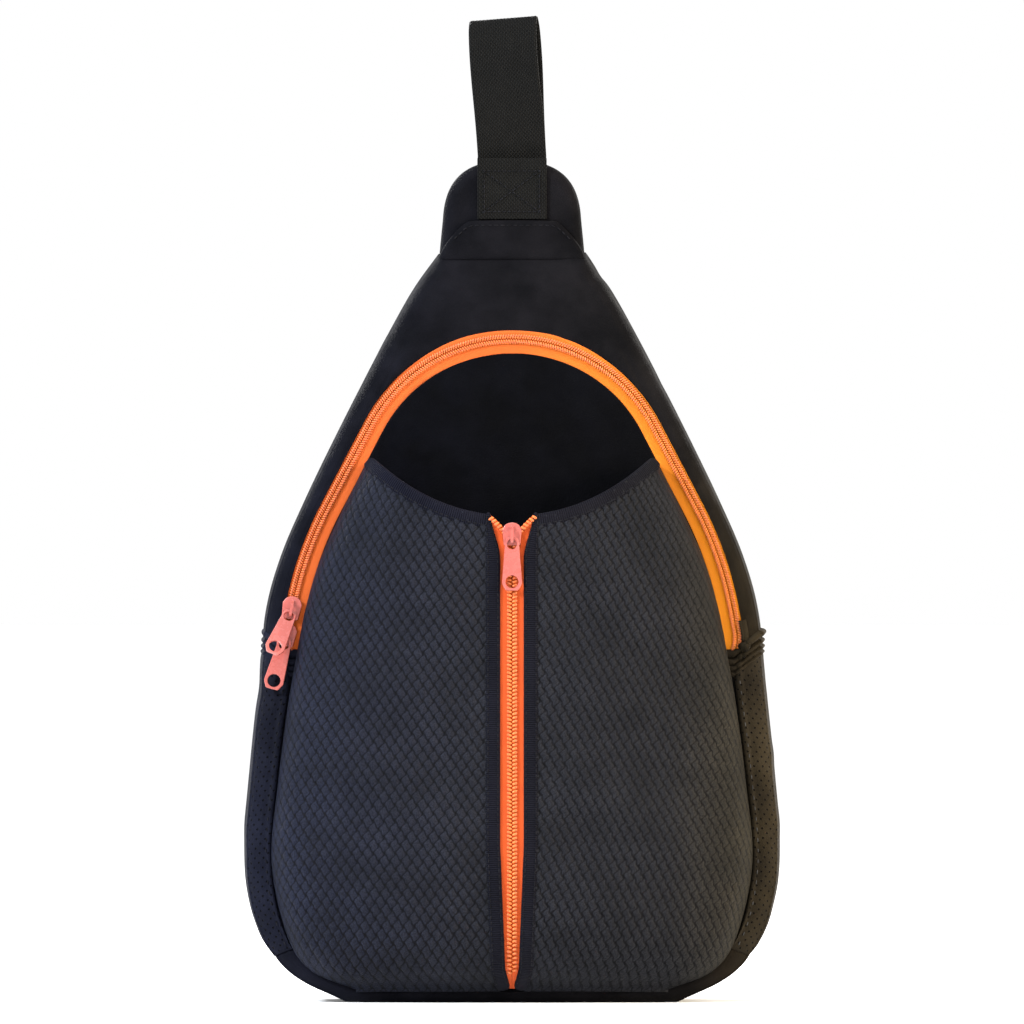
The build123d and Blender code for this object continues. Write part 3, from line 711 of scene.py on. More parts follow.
def wrinkle(ribs, size, seed):
    """Shallow folds that run across the cloth near its seams."""
    random = np.random.default_rng(seed)
    out = ribs.copy()
    row, over = np.arange(len(ribs))[:, None], np.linspace(0, 1, ribs.shape[1])[None]
    fade = np.sin(pi * over) ** 0.7
    outward = unit(ribs - np.array([0.0, MIDDLE_Y, 190.0]))
    for _ in range(7):
        at, wide = random.uniform(0, len(ribs)), random.uniform(2.0, 4.5)
        where = np.exp(-((row - at - 6 * (over - 0.5)) / wide) ** 2)
        out += outward * (where * fade * random.uniform(-size, size))[..., None]
    return out


def fold_level(x, z):
    """A height that sweeps up to the bag's side, as the folds at the zip's end do."""
    return z - 0.76 * np.clip(np.abs(x) - 120.0, 0, 16.0) - 1.0


def ridges(level, folds, base):
    """Rounded folds, each with its middle, half width and rise, above a base height."""
    height = np.full(level.shape, base)
    for middle, half, rise in folds:
        reach = np.clip(1 - ((level - middle) / half) ** 2, 0, 1)
        height = np.maximum(height, base + (rise - base) * np.sqrt(reach))
    return height


def shell_piece(name, ribs, material, slot, node, thick=WALL - 0.6, uvs_from=None):
    """One cloth of the shell, in place of its CAD node."""
    uvs = cloth_uvs(ribs if uvs_from is None else uvs_from)
    dress(sheet_mesh(name, ribs, material, thick, uvs, flip=True), "bag", slot, node)


def shell():
    """Base, gussets, end tabs and upper shell, all ribs of one outline."""
    base = pinch(rib_set(0, -1, BASE_Z + 1.2), (LOW_SEAM, HIGH_SEAM), 0.6)
    shell_piece("base_cloth", base, NEOPRENE, "neoprene", "base_panel", 1.0)
    for side, word in WORD.items():
        gusset = wrinkle(pinch(rib_set(side, BASE_Z - 0.6, END_Z + 1.5), (LOW_SEAM,)), 0.7, 11 + side)
        shell_piece("side_gusset_cloth_" + word, gusset, PERFORATED, "perforated_neoprene",
                    "side_gusset_" + word)
        tab = rib_set(side, 172.0, 206.0, 0.5)
        outward = unit(np.cross(np.gradient(tab, axis=1), np.gradient(tab, axis=0)))
        outward *= np.sign((outward[..., 0] * side).mean())
        size = 1.0 if side > 0 else 0.25
        folds = [(middle, half, rise * size) for middle, half, rise in
                 ((187.0, 2.4, 2.8), (182.4, 1.8, 1.6), (178.9, 1.6, 1.3), (175.8, 1.4, 0.9))]
        high = ridges(fold_level(tab[..., 0], tab[..., 2]), folds, -1.3)
        shell_piece("zip_end_cloth_" + word, tab + outward * high[..., None], FOLD, "neoprene",
                    "zip_end_tab_" + word, 1.4, tab)
    upper = np.vstack([rib_set(side, END_Z, BODY_TOP + 1) for side in WORD])
    shell_piece("upper_shell_cloth", wrinkle(upper, 1.2, 5), NEOPRENE, "neoprene", "upper_shell")


# ---------------------------------------------------------------- surfaces the trims lie on
def panel_height(x, v):
    """The front panel's soft crown inside the arch."""
    across = np.clip(1 - (np.abs(x) / 84.0) ** 2, 0, 1)
    rise = 1.6 * across * smoothstep((v - 240) / 60) * smoothstep((352.0 - v) / 22)
    return rise + 0.35 * np.sin(x / 19 + v / 31) * across


def pocket_point(x, v):
    """A point on the pocket's face."""
    return front(x, v, dome(x, v))


def pocket_frame(x, v, dx, dv):
    """On the pocket's face: the points, and the unit directions along (dx, dv) and out of the cloth."""
    x, v = np.asarray(x, float), np.asarray(v, float)
    size = np.hypot(dx, dv)
    dx, dv = dx / size, dv / size
    here = pocket_point(x, v)
    along = unit(pocket_point(x + 0.5 * dx, v + 0.5 * dv) - pocket_point(x - 0.5 * dx, v - 0.5 * dv))
    across = unit(pocket_point(x - 0.5 * dv, v + 0.5 * dx) - pocket_point(x + 0.5 * dv, v - 0.5 * dx))
    out = unit(np.cross(across, along))
    out = np.where((out @ FRONT_OUT)[:, None] < 0, -out, out)
    return here, along, out


def trim(name, path, side, up, section, material, ribs, wide=None, caps=True, flip=False):
    """A strip swept along a path: ribs gives its fine ribs' pitch and height, wide its width at each row."""
    section = np.asarray(section, float)
    along, (pitch, height) = lengths(path), ribs
    across = section[None, :, 0] * (np.ones(len(path)) if wide is None else wide)[:, None]
    rise = section[None, :, 1] + height * np.sin(along * 2 * pi / pitch)[:, None] * (section[None, :, 1] > 0)
    points = path[:, None] + side[:, None] * across[..., None] + up[:, None] * rise[..., None]
    uvs = np.stack([np.repeat(along[:, None], len(section), axis=1), across], axis=-1).reshape(-1, 2)
    faces = tube_faces(len(path), len(section), caps, flip)
    return make_mesh(name, points.reshape(-1, 3), faces, material, uvs)


# ---------------------------------------------------------------- the front panel and its flap
FOLD_LOW = tuple(front(0, 293.0, 0) * MM)
FOLD_HIGH = tuple(front(0, 306.0, 0) * MM)


def bend(obj, slot, *nodes):
    """A piece that crosses the flap's fold: its placement is baked into its mesh, and the CAD nodes it stands
    for are hidden.
    """
    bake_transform(obj)
    if nodes:
        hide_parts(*nodes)


def front_cloth():
    """One neoprene sheet: the pocket's back wall below, the compartment's flap above."""
    inner = arch_side(-BAND_IN + 0.4)[::-1]
    outline = np.vstack([through(PANEL_STATIONS, 10), inner[1:]])
    order = np.argsort(outline[:, 1])
    outline = outline[order]
    top = CROWN_V + CROWN_R - BAND_IN + 0.15
    low = np.linspace(7.5, 250, 60)
    high = 250 + (top - 250) * np.sin(np.linspace(0.02, 1, 70) * pi / 2)
    rows = []
    for v in np.concatenate([low, high]):
        half = np.interp(v, outline[:, 1], outline[:, 0])
        if v > CROWN_V + 40:
            half = np.sqrt(max((CROWN_R - BAND_IN + 0.4) ** 2 - (v - CROWN_V) ** 2, 25))
        x = half * np.sin(np.linspace(-1, 1, 81) * pi / 2)
        edge = np.clip((half - np.abs(x)) / 2.0, 0, 1)
        w = panel_height(x, v) - 0.9 * (1 - np.sqrt(1 - (1 - edge) ** 2 * 0.99))
        rows.append(front(x, v, w))
    panel = sheet_mesh("front_panel_cloth", np.array(rows), PANEL, WALL - 0.5)
    bend(panel, "neoprene", "front_panel", "crown_flap")


# ---------------------------------------------------------------- zips
def chain_frame(off, w, step):
    """The arch's line at off from its chain: its points, the outward direction and along."""
    flat = resample(mirrored(arch_side(off)), step=step)
    t = tangents(flat)
    n = np.stack([-t[:, 1], t[:, 0]], axis=1)
    path = front(flat[:, 0], flat[:, 1], w)
    out = n[:, :1] * np.array([1.0, 0, 0]) + n[:, 1:] * FRONT_UP
    along = t[:, :1] * np.array([1.0, 0, 0]) + t[:, 1:] * FRONT_UP
    return path, out, along


def teeth(name, path, out, along, sign, pitch=ARCH_PITCH):
    """One row of a coil zip: loops that slant and lock in the middle, with a rounded back."""
    up = unit(np.cross(along, out))
    up = np.where((up @ FRONT_OUT)[:, None] < 0, -up, up)
    slant = unit(out * sign * 0.9 + along * 0.34)
    side = unit(np.cross(up, slant))
    parts = [bead(p, a, s, u, 2.9, pitch * 0.74, 1.5)
             for p, a, s, u in zip(path + out * sign * 1.42, slant, side, up)]
    return join_meshes(name, parts, COIL)


def stitch_row(name, path, up, along, pitch):
    """The thread that sews a coil down: short beads along the row."""
    side = unit(np.cross(along, up))
    parts = [bead(p, a, s, u, pitch * 0.86, 0.42, 0.42) for p, a, s, u in zip(path, along, side, up)]
    return join_meshes(name, parts, ORANGE_THREAD)


def arch_tape(name, inner, outer, ripple=0.0):
    """One of the arch's tapes, between two distances from the chain; ripple waves its inner edge."""
    path, out, _ = chain_frame((inner + outer) / 2, -0.75, 0.65)
    section = tape_section() * np.array([outer - inner, 1.0])
    obj = trim(name, path, out, repeated(FRONT_OUT, len(path)), section, TAPE, (1.3, 0.09))
    co = np.array([v.co for v in obj.data.vertices]).reshape(len(path), len(section), 3)
    edge = np.clip(-section[:, 0] / (outer - inner) * 2, 0, 1)
    wave = np.abs((lengths(path) / 1.7) % 1 - 0.5)
    co -= out[:, None] * (ripple * MM * wave[:, None] * edge[None])[..., None]
    obj.data.vertices.foreach_set("co", co.reshape(-1).astype(np.float32))
    return obj


def arch_zip():
    """Tapes, teeth and stitches of the compartment's zip."""
    parts = [name + "_" + part for name in ("arch_zip_inner_tape", "arch_zip_inner_coil")
             for part in ("crown", "left", "right")]
    dress(arch_tape("arch_zip_tape_outer", 0.1, 5.4), "bag", "zip_tape", "arch_zip_outer_tape")
    bend(arch_tape("arch_zip_tape_inner", -BAND_IN - 0.3, -0.1, 0.9), "zip_tape", *parts[:3])
    path, out, along = chain_frame(0, 0.15, ARCH_PITCH)
    outer = teeth("arch_zip_teeth_outer", path, out, along, 1)
    dress(outer, "bag", "zip_coil", "arch_zip_outer_coil")
    inner = teeth("arch_zip_teeth_inner", path + along * ARCH_PITCH / 2, out, along, -1)
    bend(inner, "zip_coil", *parts[3:])
    for off, name in ((1.75, "outer"), (-1.75, "inner")):
        path, out, along = chain_frame(off, 0.95, ARCH_PITCH)
        row = stitch_row("arch_zip_stitches_" + name, path, repeated(FRONT_OUT, len(path)), along, 1.3)
        if name == "outer":
            dress(row, "bag", "zip_coil")
        else:
            bend(row, "zip_coil")


# ---------------------------------------------------------------- the front pocket
def relief(a, b, edge, side):
    """The embossed cloth's raised ogee cells; a and b in millimetres across and up the cloth."""
    cell_w, cell_h = CELL[side]
    u, v = a / cell_w, b / cell_h
    v = v + 0.05 * np.sin(a / 31 + b / 47)
    u = u + OGEE[side] * np.sin(4 * pi * v)
    pads = np.abs(np.cos(pi * (u + v)) * np.cos(pi * (u - v))) ** 0.5
    tilt = 0.12 * np.sin(2 * pi * (u - v))
    fade = 0.12 + 0.88 * smoothstep((edge - 7) / 16)
    return (1.25 * pads + tilt * pads) * fade


def pocket_half(side):
    """One half of the pocket: an embossed neoprene bulge from the zip's binding to the side seam."""
    levels = np.linspace(POCKET_LOW, 303.5, 200)
    rows, columns = 345, 188
    share = np.sin(np.linspace(0, 1, 260) * pi / 2)
    table = []
    for v in levels:
        inner = binding_x(v) + 2.0 - BINDING_SWING * flare(v)
        x = inner + (dome_half(v) - inner) * share
        table.append(resample(np.stack([x, dome(x * side, v)], axis=1), count=columns))
    table = np.array(table)                                     # level, column, (x, w)
    tops = []
    for c in range(columns):
        gap = levels - mouth_v(table[:, c, 0]) + 1.5
        tops.append(levels[np.argmax(gap > 0)] if (gap > 0).any() else levels[-1])
    tops = np.minimum(np.array(tops), 292.0)
    tops = np.convolve(np.pad(tops, 6, mode="edge"), np.ones(13) / 13, mode="valid")
    points = np.empty((rows, columns, 3))
    uvs = np.empty((rows, columns, 2))
    for c in range(columns):
        v = POCKET_LOW + (tops[c] - POCKET_LOW) * np.linspace(0, 1, rows)
        x = np.interp(v, levels, table[:, c, 0])
        w = np.interp(v, levels, table[:, c, 1])
        points[:, c] = front(x * side, v, w)
        uvs[:, c, 1] = v
    across = np.array([lengths(row) for row in points])
    uvs[..., 0] = across
    edge = across[:, -1:] - across
    normal = unit(np.cross(np.gradient(points, axis=1), np.gradient(points, axis=0))) * side
    raised = relief(across, uvs[..., 1], np.minimum(edge, 60), side)
    low = smoothstep((uvs[..., 1] - 9) / 9)
    points = points + normal * (raised * (0.25 + 0.75 * low))[..., None]
    cloth = sheet_mesh("pocket_cloth_" + WORD[side], points, EMBOSSED[side], 0.0, uvs, flip=side < 0)
    dress(cloth, "bag", "embossed_neoprene", "pocket_panel_" + WORD[side])
    lining = points[::12, ::8] - normal[::12, ::8] * 2.6
    dress(sheet_mesh("pocket_lining_" + WORD[side], lining, NEOPRENE, flip=side > 0), "bag", "neoprene")


def pocket_hem(side):
    """The ribbed knit turned over the pocket's mouth."""
    x = resample(np.repeat(np.linspace(11.9, MOUTH_HALF - 0.2, 200)[:, None], 2, axis=1), step=0.4)[:, 0]
    v = mouth_v(x)
    path, down, out = pocket_frame(x * side, v, np.gradient(v, x) * side, -np.ones_like(x))
    path = resample(path, step=0.3)
    down, out = resize_rows(down, len(path)), resize_rows(out, len(path))
    section = [(-0.6, -2.6), (-0.9, -0.6), (-0.5, 0.75), (0.4, 1.15), (2.0, 1.3), (3.6, 1.3), (5.2, 1.15),
               (6.3, 0.8), (6.7, 0.2), (6.5, -2.4), (3.0, -3.0), (0.6, -3.1)]
    hem = trim("pocket_hem_cloth_" + WORD[side], path, down, out, section, HEM, (KNIT_RIBS, 0.10))
    dress(hem, "bag", "binding", "pocket_hem_" + WORD[side])
    seam = path + down * 5.3 + out * 1.2
    row = stitches("pocket_hem_stitches_" + WORD[side], seam[4:-4], out[4:-4], THREAD, 3.0, 2.2)
    dress(row, "bag", "binding")


def flare(v):
    """How far the open end of the zip has turned its binding aside, 0 to 1."""
    return smoothstep((v - 236) / 24)


def binding_x(v):
    """The middle of the zip's binding: it closes in at the bottom and opens a little at the mouth."""
    taper = 3.1 * (1 - np.clip((v - POCKET_FOOT) / 75, 0, 1)) + 2.9 * (1 - smoothstep((v - 4) / 14))
    return 10.2 - taper + BINDING_SWING * flare(v)


def binding_half(v):
    """Half of the binding's width."""
    return BINDING_HALF * (1 - 0.62 * flare(v))


def pocket_binding(side):
    """The knit folded over the pocket cloth's edge beside the zip, with a line of stitches at each edge."""
    v = np.linspace(6.2, 261.5, 900)
    x = binding_x(v)
    narrow = binding_half(v) / BINDING_HALF
    path, up_along, out = pocket_frame(x * side, v, np.gradient(x, v) * side, np.ones_like(v))
    across = unit(np.cross(up_along, out))
    gone = lengths(path)
    wide = round_end(gone, 4.5, 0.02) * round_end(gone[-1] - gone, 2.5, 0.02) * narrow
    section = [(-3.9, 0.1), (-3.7, 0.9), (-2.6, 1.35), (0.0, 1.5), (2.6, 1.35), (3.7, 0.9), (3.9, 0.1),
               (3.6, -1.2), (0.0, -1.4), (-3.6, -1.2)]
    obj = trim("pocket_binding_" + WORD[side], path, across, out, section, HEM, (KNIT_RIBS, 0.09), wide)
    dress(obj, "bag", "binding", "pocket_zip_binding_" + WORD[side])
    for place, label in ((-2.6, "inner"), (2.7, "outer")):
        seam = path + facing(across, side) * place * narrow[:, None] + out * 1.5
        name = f"pocket_binding_stitches_{label}_{WORD[side]}"
        dress(stitches(name, seam[16:-10], out[16:-10], THREAD, 3.0, 2.1), "bag", "binding")


def opening(v):
    """How far each row of the open zip stands from the middle, above the slider."""
    return 11.4 * np.clip((v - SLIDER_V) / 15.0, 0, 1) ** 1.6


def pocket_zip():
    """The centre zip: a tape each side, the coil, and the V that its open end makes."""
    low, first_tooth, mouth = 7.0, 15.0, 260.6
    v = np.arange(low, mouth, 0.65)
    dense = np.arange(first_tooth, mouth, 0.1)
    gone = lengths(np.stack([opening(dense), dense], axis=1))
    inner = 0.05 + opening(v)
    outer = np.maximum(binding_x(v) - binding_half(v) + 0.9, inner + 0.8)
    for side, word in WORD.items():
        path, along, out = pocket_frame((inner + outer) / 2 * side, v, np.zeros_like(v), np.ones_like(v))
        across = facing(unit(np.cross(along, out)), side)
        tape = trim("pocket_zip_cloth_" + word, path - out * 0.75, across, out, tape_section(), RED_TAPE,
                    (1.3, 0.08), outer - inner, caps=False, flip=side < 0)
        dress(tape, "bag", "zip_tape", "pocket_zip_tape_" + word)
        start = POCKET_PITCH / 2 if side > 0 else 0.0
        at = np.interp(np.arange(start, gone[-1], POCKET_PITCH), gone, dense)
        gap = opening(at)
        path, along, out = pocket_frame(gap * side, at, np.gradient(gap, at) * side, np.ones_like(at))
        across = facing(unit(np.cross(along, out)), side)
        path = path + out * (1.3 * smoothstep((at - SLIDER_V - 6) / 6))[:, None]
        row = teeth("pocket_zip_teeth_" + word, path + out * 0.25, across, along, 1, POCKET_PITCH)
        dress(row, "bag", "zip_coil", "pocket_zip_coil_" + word)
        seam = path + across * 2.15 + out * 1.0
        dress(stitch_row("pocket_zip_stitches_" + word, seam, out, along, POCKET_PITCH), "bag", "zip_coil")


# ---------------------------------------------------------------- seams of the shell
def body_seams():
    """Binding round the back seam, and the stitches where the gussets meet the pocket."""
    points, normals = outline_points(0.8)
    inset = points - normals * 2.2
    path = np.stack([inset[:, 0], np.full(len(points), Y_BACK - 1.0), np.maximum(inset[:, 1], 1.6)], axis=1)
    out = unit(np.stack([normals[:, 0], np.zeros(len(points)), normals[:, 1]], axis=1))
    section = [(-2.6, 0.6), (-1.2, 1.5), (0.4, 1.6), (1.6, 1.1), (2.0, 0.0), (1.5, -1.0), (0.3, -1.5),
               (-1.4, -1.4)]
    obj = trim("back_seam_binding", path, out, repeated((0, 1, 0), len(path)), section, HEM, (KNIT_RIBS, 0.08))
    dress(obj, "bag", "binding")
    panel = through(PANEL_STATIONS, 10)
    v = np.arange(32, 174, 0.7)
    edge = np.interp(v, panel[:, 1], panel[:, 0]) + 3.0
    for side, word in WORD.items():
        up = unit(repeated(FRONT_OUT + np.array([0.5 * side, 0, 0]), len(v)))
        material = GREY_THREAD if side > 0 else THREAD
        row = stitches("gusset_stitches_" + word, front(edge * side, v, 0.75), up, material, 5.4, 2.2, 0.6, 0.5)
        dress(row, "bag", "perforated_neoprene")


def zip_end(side):
    """The neoprene patch that covers the foot of the arch zip, with the folds' inner ends."""
    x, v = np.meshgrid(np.linspace(108.0, 131.5, 48), np.linspace(171.5, 191.5, 60))
    folds = ((187.0, 2.2, 1.8), (182.4, 1.8, 1.4), (178.9, 1.6, 1.2), (175.8, 1.4, 0.9))
    high = ridges(fold_level(x, v * cos(ALPHA)), folds, -0.9) - 5.0 * np.clip((x - 125.0) / 7, 0, 1) ** 2
    patch = sheet_mesh("zip_foot_patch_" + WORD[side], front(x * side, v, high), FOLD, 1.2, flip=side < 0)
    dress(patch, "bag", "neoprene")


# ---------------------------------------------------------------- pads
def pad(name, outline, centre, place, thick, edge, material, crown=0.0, rings=16, dents=0.0):
    """A padded shape from a closed outline: place(x, z, t) gives a point, t from -1 front to 1 back."""
    outline, centre = np.asarray(outline, float), np.asarray(centre, float)
    reach = np.linalg.norm(outline - centre, axis=1)
    share = np.sin(np.linspace(0, 1, rings) * pi / 2)[1:]
    points = [place(centre[0], centre[1], -thick / 2 - crown)]
    for sign in (-1, 1):
        order = share if sign < 0 else share[::-1][1:]
        for r in order:
            p = centre + (outline - centre) * r
            depth = np.clip((1 - r) * reach / edge, 0, 1)
            t = thick / 2 * np.sqrt(1 - (1 - depth) ** 2) + crown * (1 - r ** 2)
            t = t + dents * np.sin(p[:, 0] / 9.0) * np.sin(p[:, 1] / 13.0) * (1 - r)
            points += [place(x, z, sign * k) for (x, z), k in zip(p, t)]
    points.append(place(centre[0], centre[1], thick / 2 + crown))
    n, loops = len(outline), (len(points) - 2) // len(outline)
    faces = grid_faces(loops, n, first=1, closed=True)
    last = 1 + (loops - 1) * n
    faces += [[0, 1 + (j + 1) % n, 1 + j] for j in range(n)]
    faces += [[len(points) - 1, last + j, last + (j + 1) % n] for j in range(n)]
    return make_mesh(name, np.array(points), faces, material)


def yoke():
    """The padded head of the bag, and the shell's tongue sewn over it."""
    low, high = YOKE_LOW[2] - 1.5, YOKE_HIGH[2]
    t = np.linspace(0, 1, 24)[:, None]
    a, b, c, d = np.array([[37.5, 423], [36.5, 445], [25, high + 0.6], [0, high]])
    shoulder = (1 - t) ** 3 * a + 3 * t * (1 - t) ** 2 * b + 3 * t ** 2 * (1 - t) * c + t ** 3 * d
    half = np.vstack([[[0, low], [20, low], [34, low], [39.3, low + 1.5], [38.6, 412]], shoulder])
    thick = YOKE_HIGH[1] - YOKE_LOW[1] - 0.6
    obj = pad("yoke_pad", closed_outline(half, 1.6), (0, 430), lambda x, z, k: np.array([x, YOKE_Y + k, z]),
              thick, 6.5, NEOPRENE, 0.4, 18, 0.3)
    dress(obj, "bag", "neoprene", "yoke")
    face = span("shell_tongue")[0][1] + 1.6
    right = through([(0, BODY_TOP - 3.5), (30, BODY_TOP - 3.5), (39.0, BODY_TOP - 3), (37.5, 407), (31, 415.5),
                     (25.5, 420.6), (21, 422.0), (0, 422.4)], 6)
    obj = pad("shell_tongue_cloth", closed_outline(right, 1.5), (0, 411),
              lambda x, z, k: np.array([x, face + k, z]), 3.0, 2.2, NEOPRENE, 0.2, 8)
    dress(obj, "bag", "neoprene", "shell_tongue")
    edge = mirrored(np.array([(0, 419.6), (20.5, 419.6), (24.5, 418.6), (30.5, 413.0)]))
    flat_stitches("shell_tongue_stitches", edge, face - 1.75, 3.2, 2.3, "neoprene")


def flat_stitches(name, line, y, pitch, length, slot):
    """Stitches along an (x, z) line on a piece's upright front, at depth y."""
    line = resample(np.asarray(line, float), step=0.8)
    seam = np.stack([line[:, 0], np.full(len(line), y), line[:, 1]], axis=1)
    dress(stitches(name, seam, repeated((0, -1, 0), len(seam)), THREAD, pitch, length), "bag", slot)


def weave_strip(name, path, up, half, thick):
    """Webbing: a flat strip with woven rows that stand proud and a thicker selvedge."""
    side, s = repeated((1, 0, 0), len(path)), lengths(path)
    rows, columns = len(path), 40
    a = np.linspace(-1, 1, columns)
    knit = 0.085 * np.sin(s[:, None] * 2 * pi / 2.3 + (np.arange(columns)[None] % 2) * pi)
    edge = 0.18 * np.exp(-((1 - np.abs(a)) * half / 1.4) ** 2)
    top = thick / 2 * (1 - 0.75 * (np.abs(a) == 1)) + edge
    outer = knit * (np.abs(a) < 1) + top[None]
    wide = np.broadcast_to(a * half, (rows, columns))
    face = path[:, None] + side[:, None] * wide[..., None] + up[:, None] * outer[..., None]
    rear = path[:, None] + side[:, None] * wide[:, ::-1, None] - up[:, None] * outer[:, ::-1, None]
    points = np.concatenate([face, rear], axis=1)
    uvs = np.stack([np.repeat(s[:, None], 2 * columns, 1),
                    np.concatenate([wide, wide[:, ::-1]], axis=1)], -1)
    return make_mesh(name, points.reshape(-1, 3), tube_faces(rows, 2 * columns), WEBBING, uvs.reshape(-1, 2))


def webbing_run(name, flat, half, thick, x=0.0, step=0.6):
    """A webbing strip in a plane across X, given as (y, z) points."""
    flat = resample(np.asarray(flat, float), step=step)
    t = tangents(flat)
    path = np.stack([np.full(len(flat), x), flat[:, 0], flat[:, 1]], axis=1)
    up = np.stack([np.zeros(len(flat)), -t[:, 1], t[:, 0]], axis=1)
    return weave_strip(name, path, up, half, thick)


def lean_loop(obj, foot, top):
    """Turns the loop about its own line and leans it to its left, more towards its top."""
    lean, twist = np.radians(4.2), np.radians(-11.0)
    co = np.array([v.co for v in obj.data.vertices]) / MM
    x, y, z = co[:, 0], co[:, 1] - YOKE_Y, np.maximum(co[:, 2] - foot, 0)
    rise = np.clip(z / (top - foot), 0, 1)
    turn = twist * smoothstep(rise * 1.6)
    turned = x * np.cos(turn) - y * np.sin(turn)
    co = np.stack([turned - z * np.sin(lean) * 0.85, YOKE_Y + x * np.sin(turn) + y * np.cos(turn),
                   co[:, 2] + turned * np.sin(lean) * smoothstep(rise * 2)], axis=1)
    obj.data.vertices.foreach_set("co", (co * MM).reshape(-1).astype(np.float32))


def grab_loop():
    """The webbing loop: it leans a little, and its front layer hides all but a sliver of its back."""
    foot, top = LOOP_LOW[2], LOOP_HIGH[2] - 0.8
    layer = [(-1.2, foot - 5.0), (-1.35, foot + 0.2), (-2.6, foot + 16), (-5.6, foot + 38), (-6.8, foot + 54),
             (-5.4, top - 7), (-2.6, top - 1.6), (0.0, top)]
    flat = through(layer + [(-y, z) for y, z in layer[::-1][1:]], 12) + np.array([YOKE_Y, 0])
    obj = webbing_run("grab_loop_webbing", flat, 18.6, 1.45, step=0.55)
    lean_loop(obj, foot, top)
    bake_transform(obj)
    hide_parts("grab_loop")
    low, high = span("grab_loop_tail")
    z = np.arange(low[2], high[2] + 1.5, 0.55)
    path = np.stack([np.zeros(len(z)), np.full(len(z), (low[1] + high[1]) / 2), z], axis=1)
    tail = weave_strip("grab_loop_sewn_tail", path, repeated((0, -1, 0), len(z)), 18.8, 1.4)
    dress(tail, "bag", "webbing", "grab_loop_tail")
    half, bottom, head = 15, 427, 449              # the box of stitches, and its two diagonals
    box = [(-half, bottom), (half, bottom), (half, head), (-half, head), (-half, bottom)]
    for k, line in enumerate([box, [box[0], box[2]], [box[3], box[1]]]):
        flat_stitches(f"loop_box_stitches_{k + 1}", line, low[1] - 0.2, 2.6, 2.0, "webbing")


def back_cloth():
    """The padded back, with three sewn channels across it."""
    points, normals = outline_points(3.0)
    inset = points - normals * 3.4
    inset[:, 1] = np.clip(inset[:, 1], 3.0, BODY_TOP - 1)
    kept = inset[(inset[:, 1] > 3.0) | (np.abs(inset[:, 0]) < 80)]
    outline = resample(np.vstack([kept, kept[:1]]), step=3.0)[:-1]
    channels = (118.0, 205.0, 292.0)

    def place(x, z, k):
        if k > 0:
            for c in channels:
                sag = z - c - 6 * (x / 120) ** 2
                k -= 3.0 * np.exp(-(sag / 3.6) ** 2)
        return np.array([x, Y_BACK - 1.4 + k, z])

    obj = pad("back_pad", outline, (0, 175), place, 3.4, 5.0, SPACER, 2.2, 90)
    dress(obj, "bag", "neoprene", "back_panel")


def shoulder_strap():
    """The padded strap from the yoke down the back, with bound edges."""
    top, back, bend_r = STRAP_HIGH[2] - 4.0, STRAP_HIGH[1] - 4.0, 12.0
    arc = np.linspace(pi / 2, 0, 12)
    line = np.vstack([[[STRAP_LOW[1] + 0.3, top], [STRAP_LOW[1] + 4, top]],
                      np.stack([back - bend_r + bend_r * np.cos(arc), top - bend_r + bend_r * np.sin(arc)], 1),
                      [[back, STRAP_LOW[2] + 0.6]]])
    line = resample(line, step=1.5)
    t, s = tangents(line), lengths(line)
    out = np.stack([-t[:, 1], t[:, 0]], axis=1)
    out = -out if out[-1][0] < 0 else out
    half = np.interp(line[:, 1], [STRAP_LOW[2], STRAP_LOW[2] + 6, 192, 330], [14.5, 19.5, 24, 34])
    ends = round_end(s[-1] - s, 3.0, 0.08) * round_end(s, 2.0, 0.3)
    a = np.sin(np.linspace(-1, 1, 33) * pi / 2)
    puff = (1 - np.abs(a) ** 5) ** 0.5
    waves = 1 + 0.05 * np.sin(s / 17.0)[:, None] * (1 - a[None] ** 2)
    seam = 1 - 0.42 * np.exp(-((half[:, None] * (1 - np.abs(a[None])) - 6.0) / 1.3) ** 2)
    high = 3.75 * puff[None] * waves * seam * ends[:, None]
    faces = [np.stack([a[None] * half[:, None], line[:, :1] + out[:, :1] * h, line[:, 1:] + out[:, 1:] * h], -1)
             for h in (high, -high)]
    points = np.concatenate([faces[0], faces[1][:, ::-1][:, 1:-1]], axis=1)
    rows, columns = points.shape[:2]
    obj = make_mesh("shoulder_strap_pad", points.reshape(-1, 3), tube_faces(rows, columns), NEOPRENE)
    dress(obj, "shoulder_strap", "neoprene", "shoulder_strap")
    section = [(-3.0, 1.9), (-0.6, 1.9), (0.7, 1.2), (1.1, 0), (0.7, -1.2), (-0.6, -1.9), (-3.0, -1.9)]
    keep = slice(3, rows - 2)
    for side, word in WORD.items():
        edge = resample(np.stack([(half - 0.7) * side, line[:, 0], line[:, 1]], axis=1)[keep], step=0.9)
        normal = resize_rows(np.stack([np.zeros(rows), out[:, 0], out[:, 1]], 1)[keep], len(edge))
        outward = facing(unit(np.cross(normal, tangents(edge))), side)
        bound = trim("strap_binding_" + word, edge, outward, normal, section, HEM, (KNIT_RIBS, 0.08))
        dress(bound, "shoulder_strap", "binding")
        for face, label in ((1, "outer"), (-1, "inner")):
            seam = edge - outward * 2.2 + normal * face * 2.0
            row = stitches(f"strap_stitches_{word}_{label}", seam, normal * face, THREAD, 3.4, 2.4)
            dress(row, "shoulder_strap", "binding")


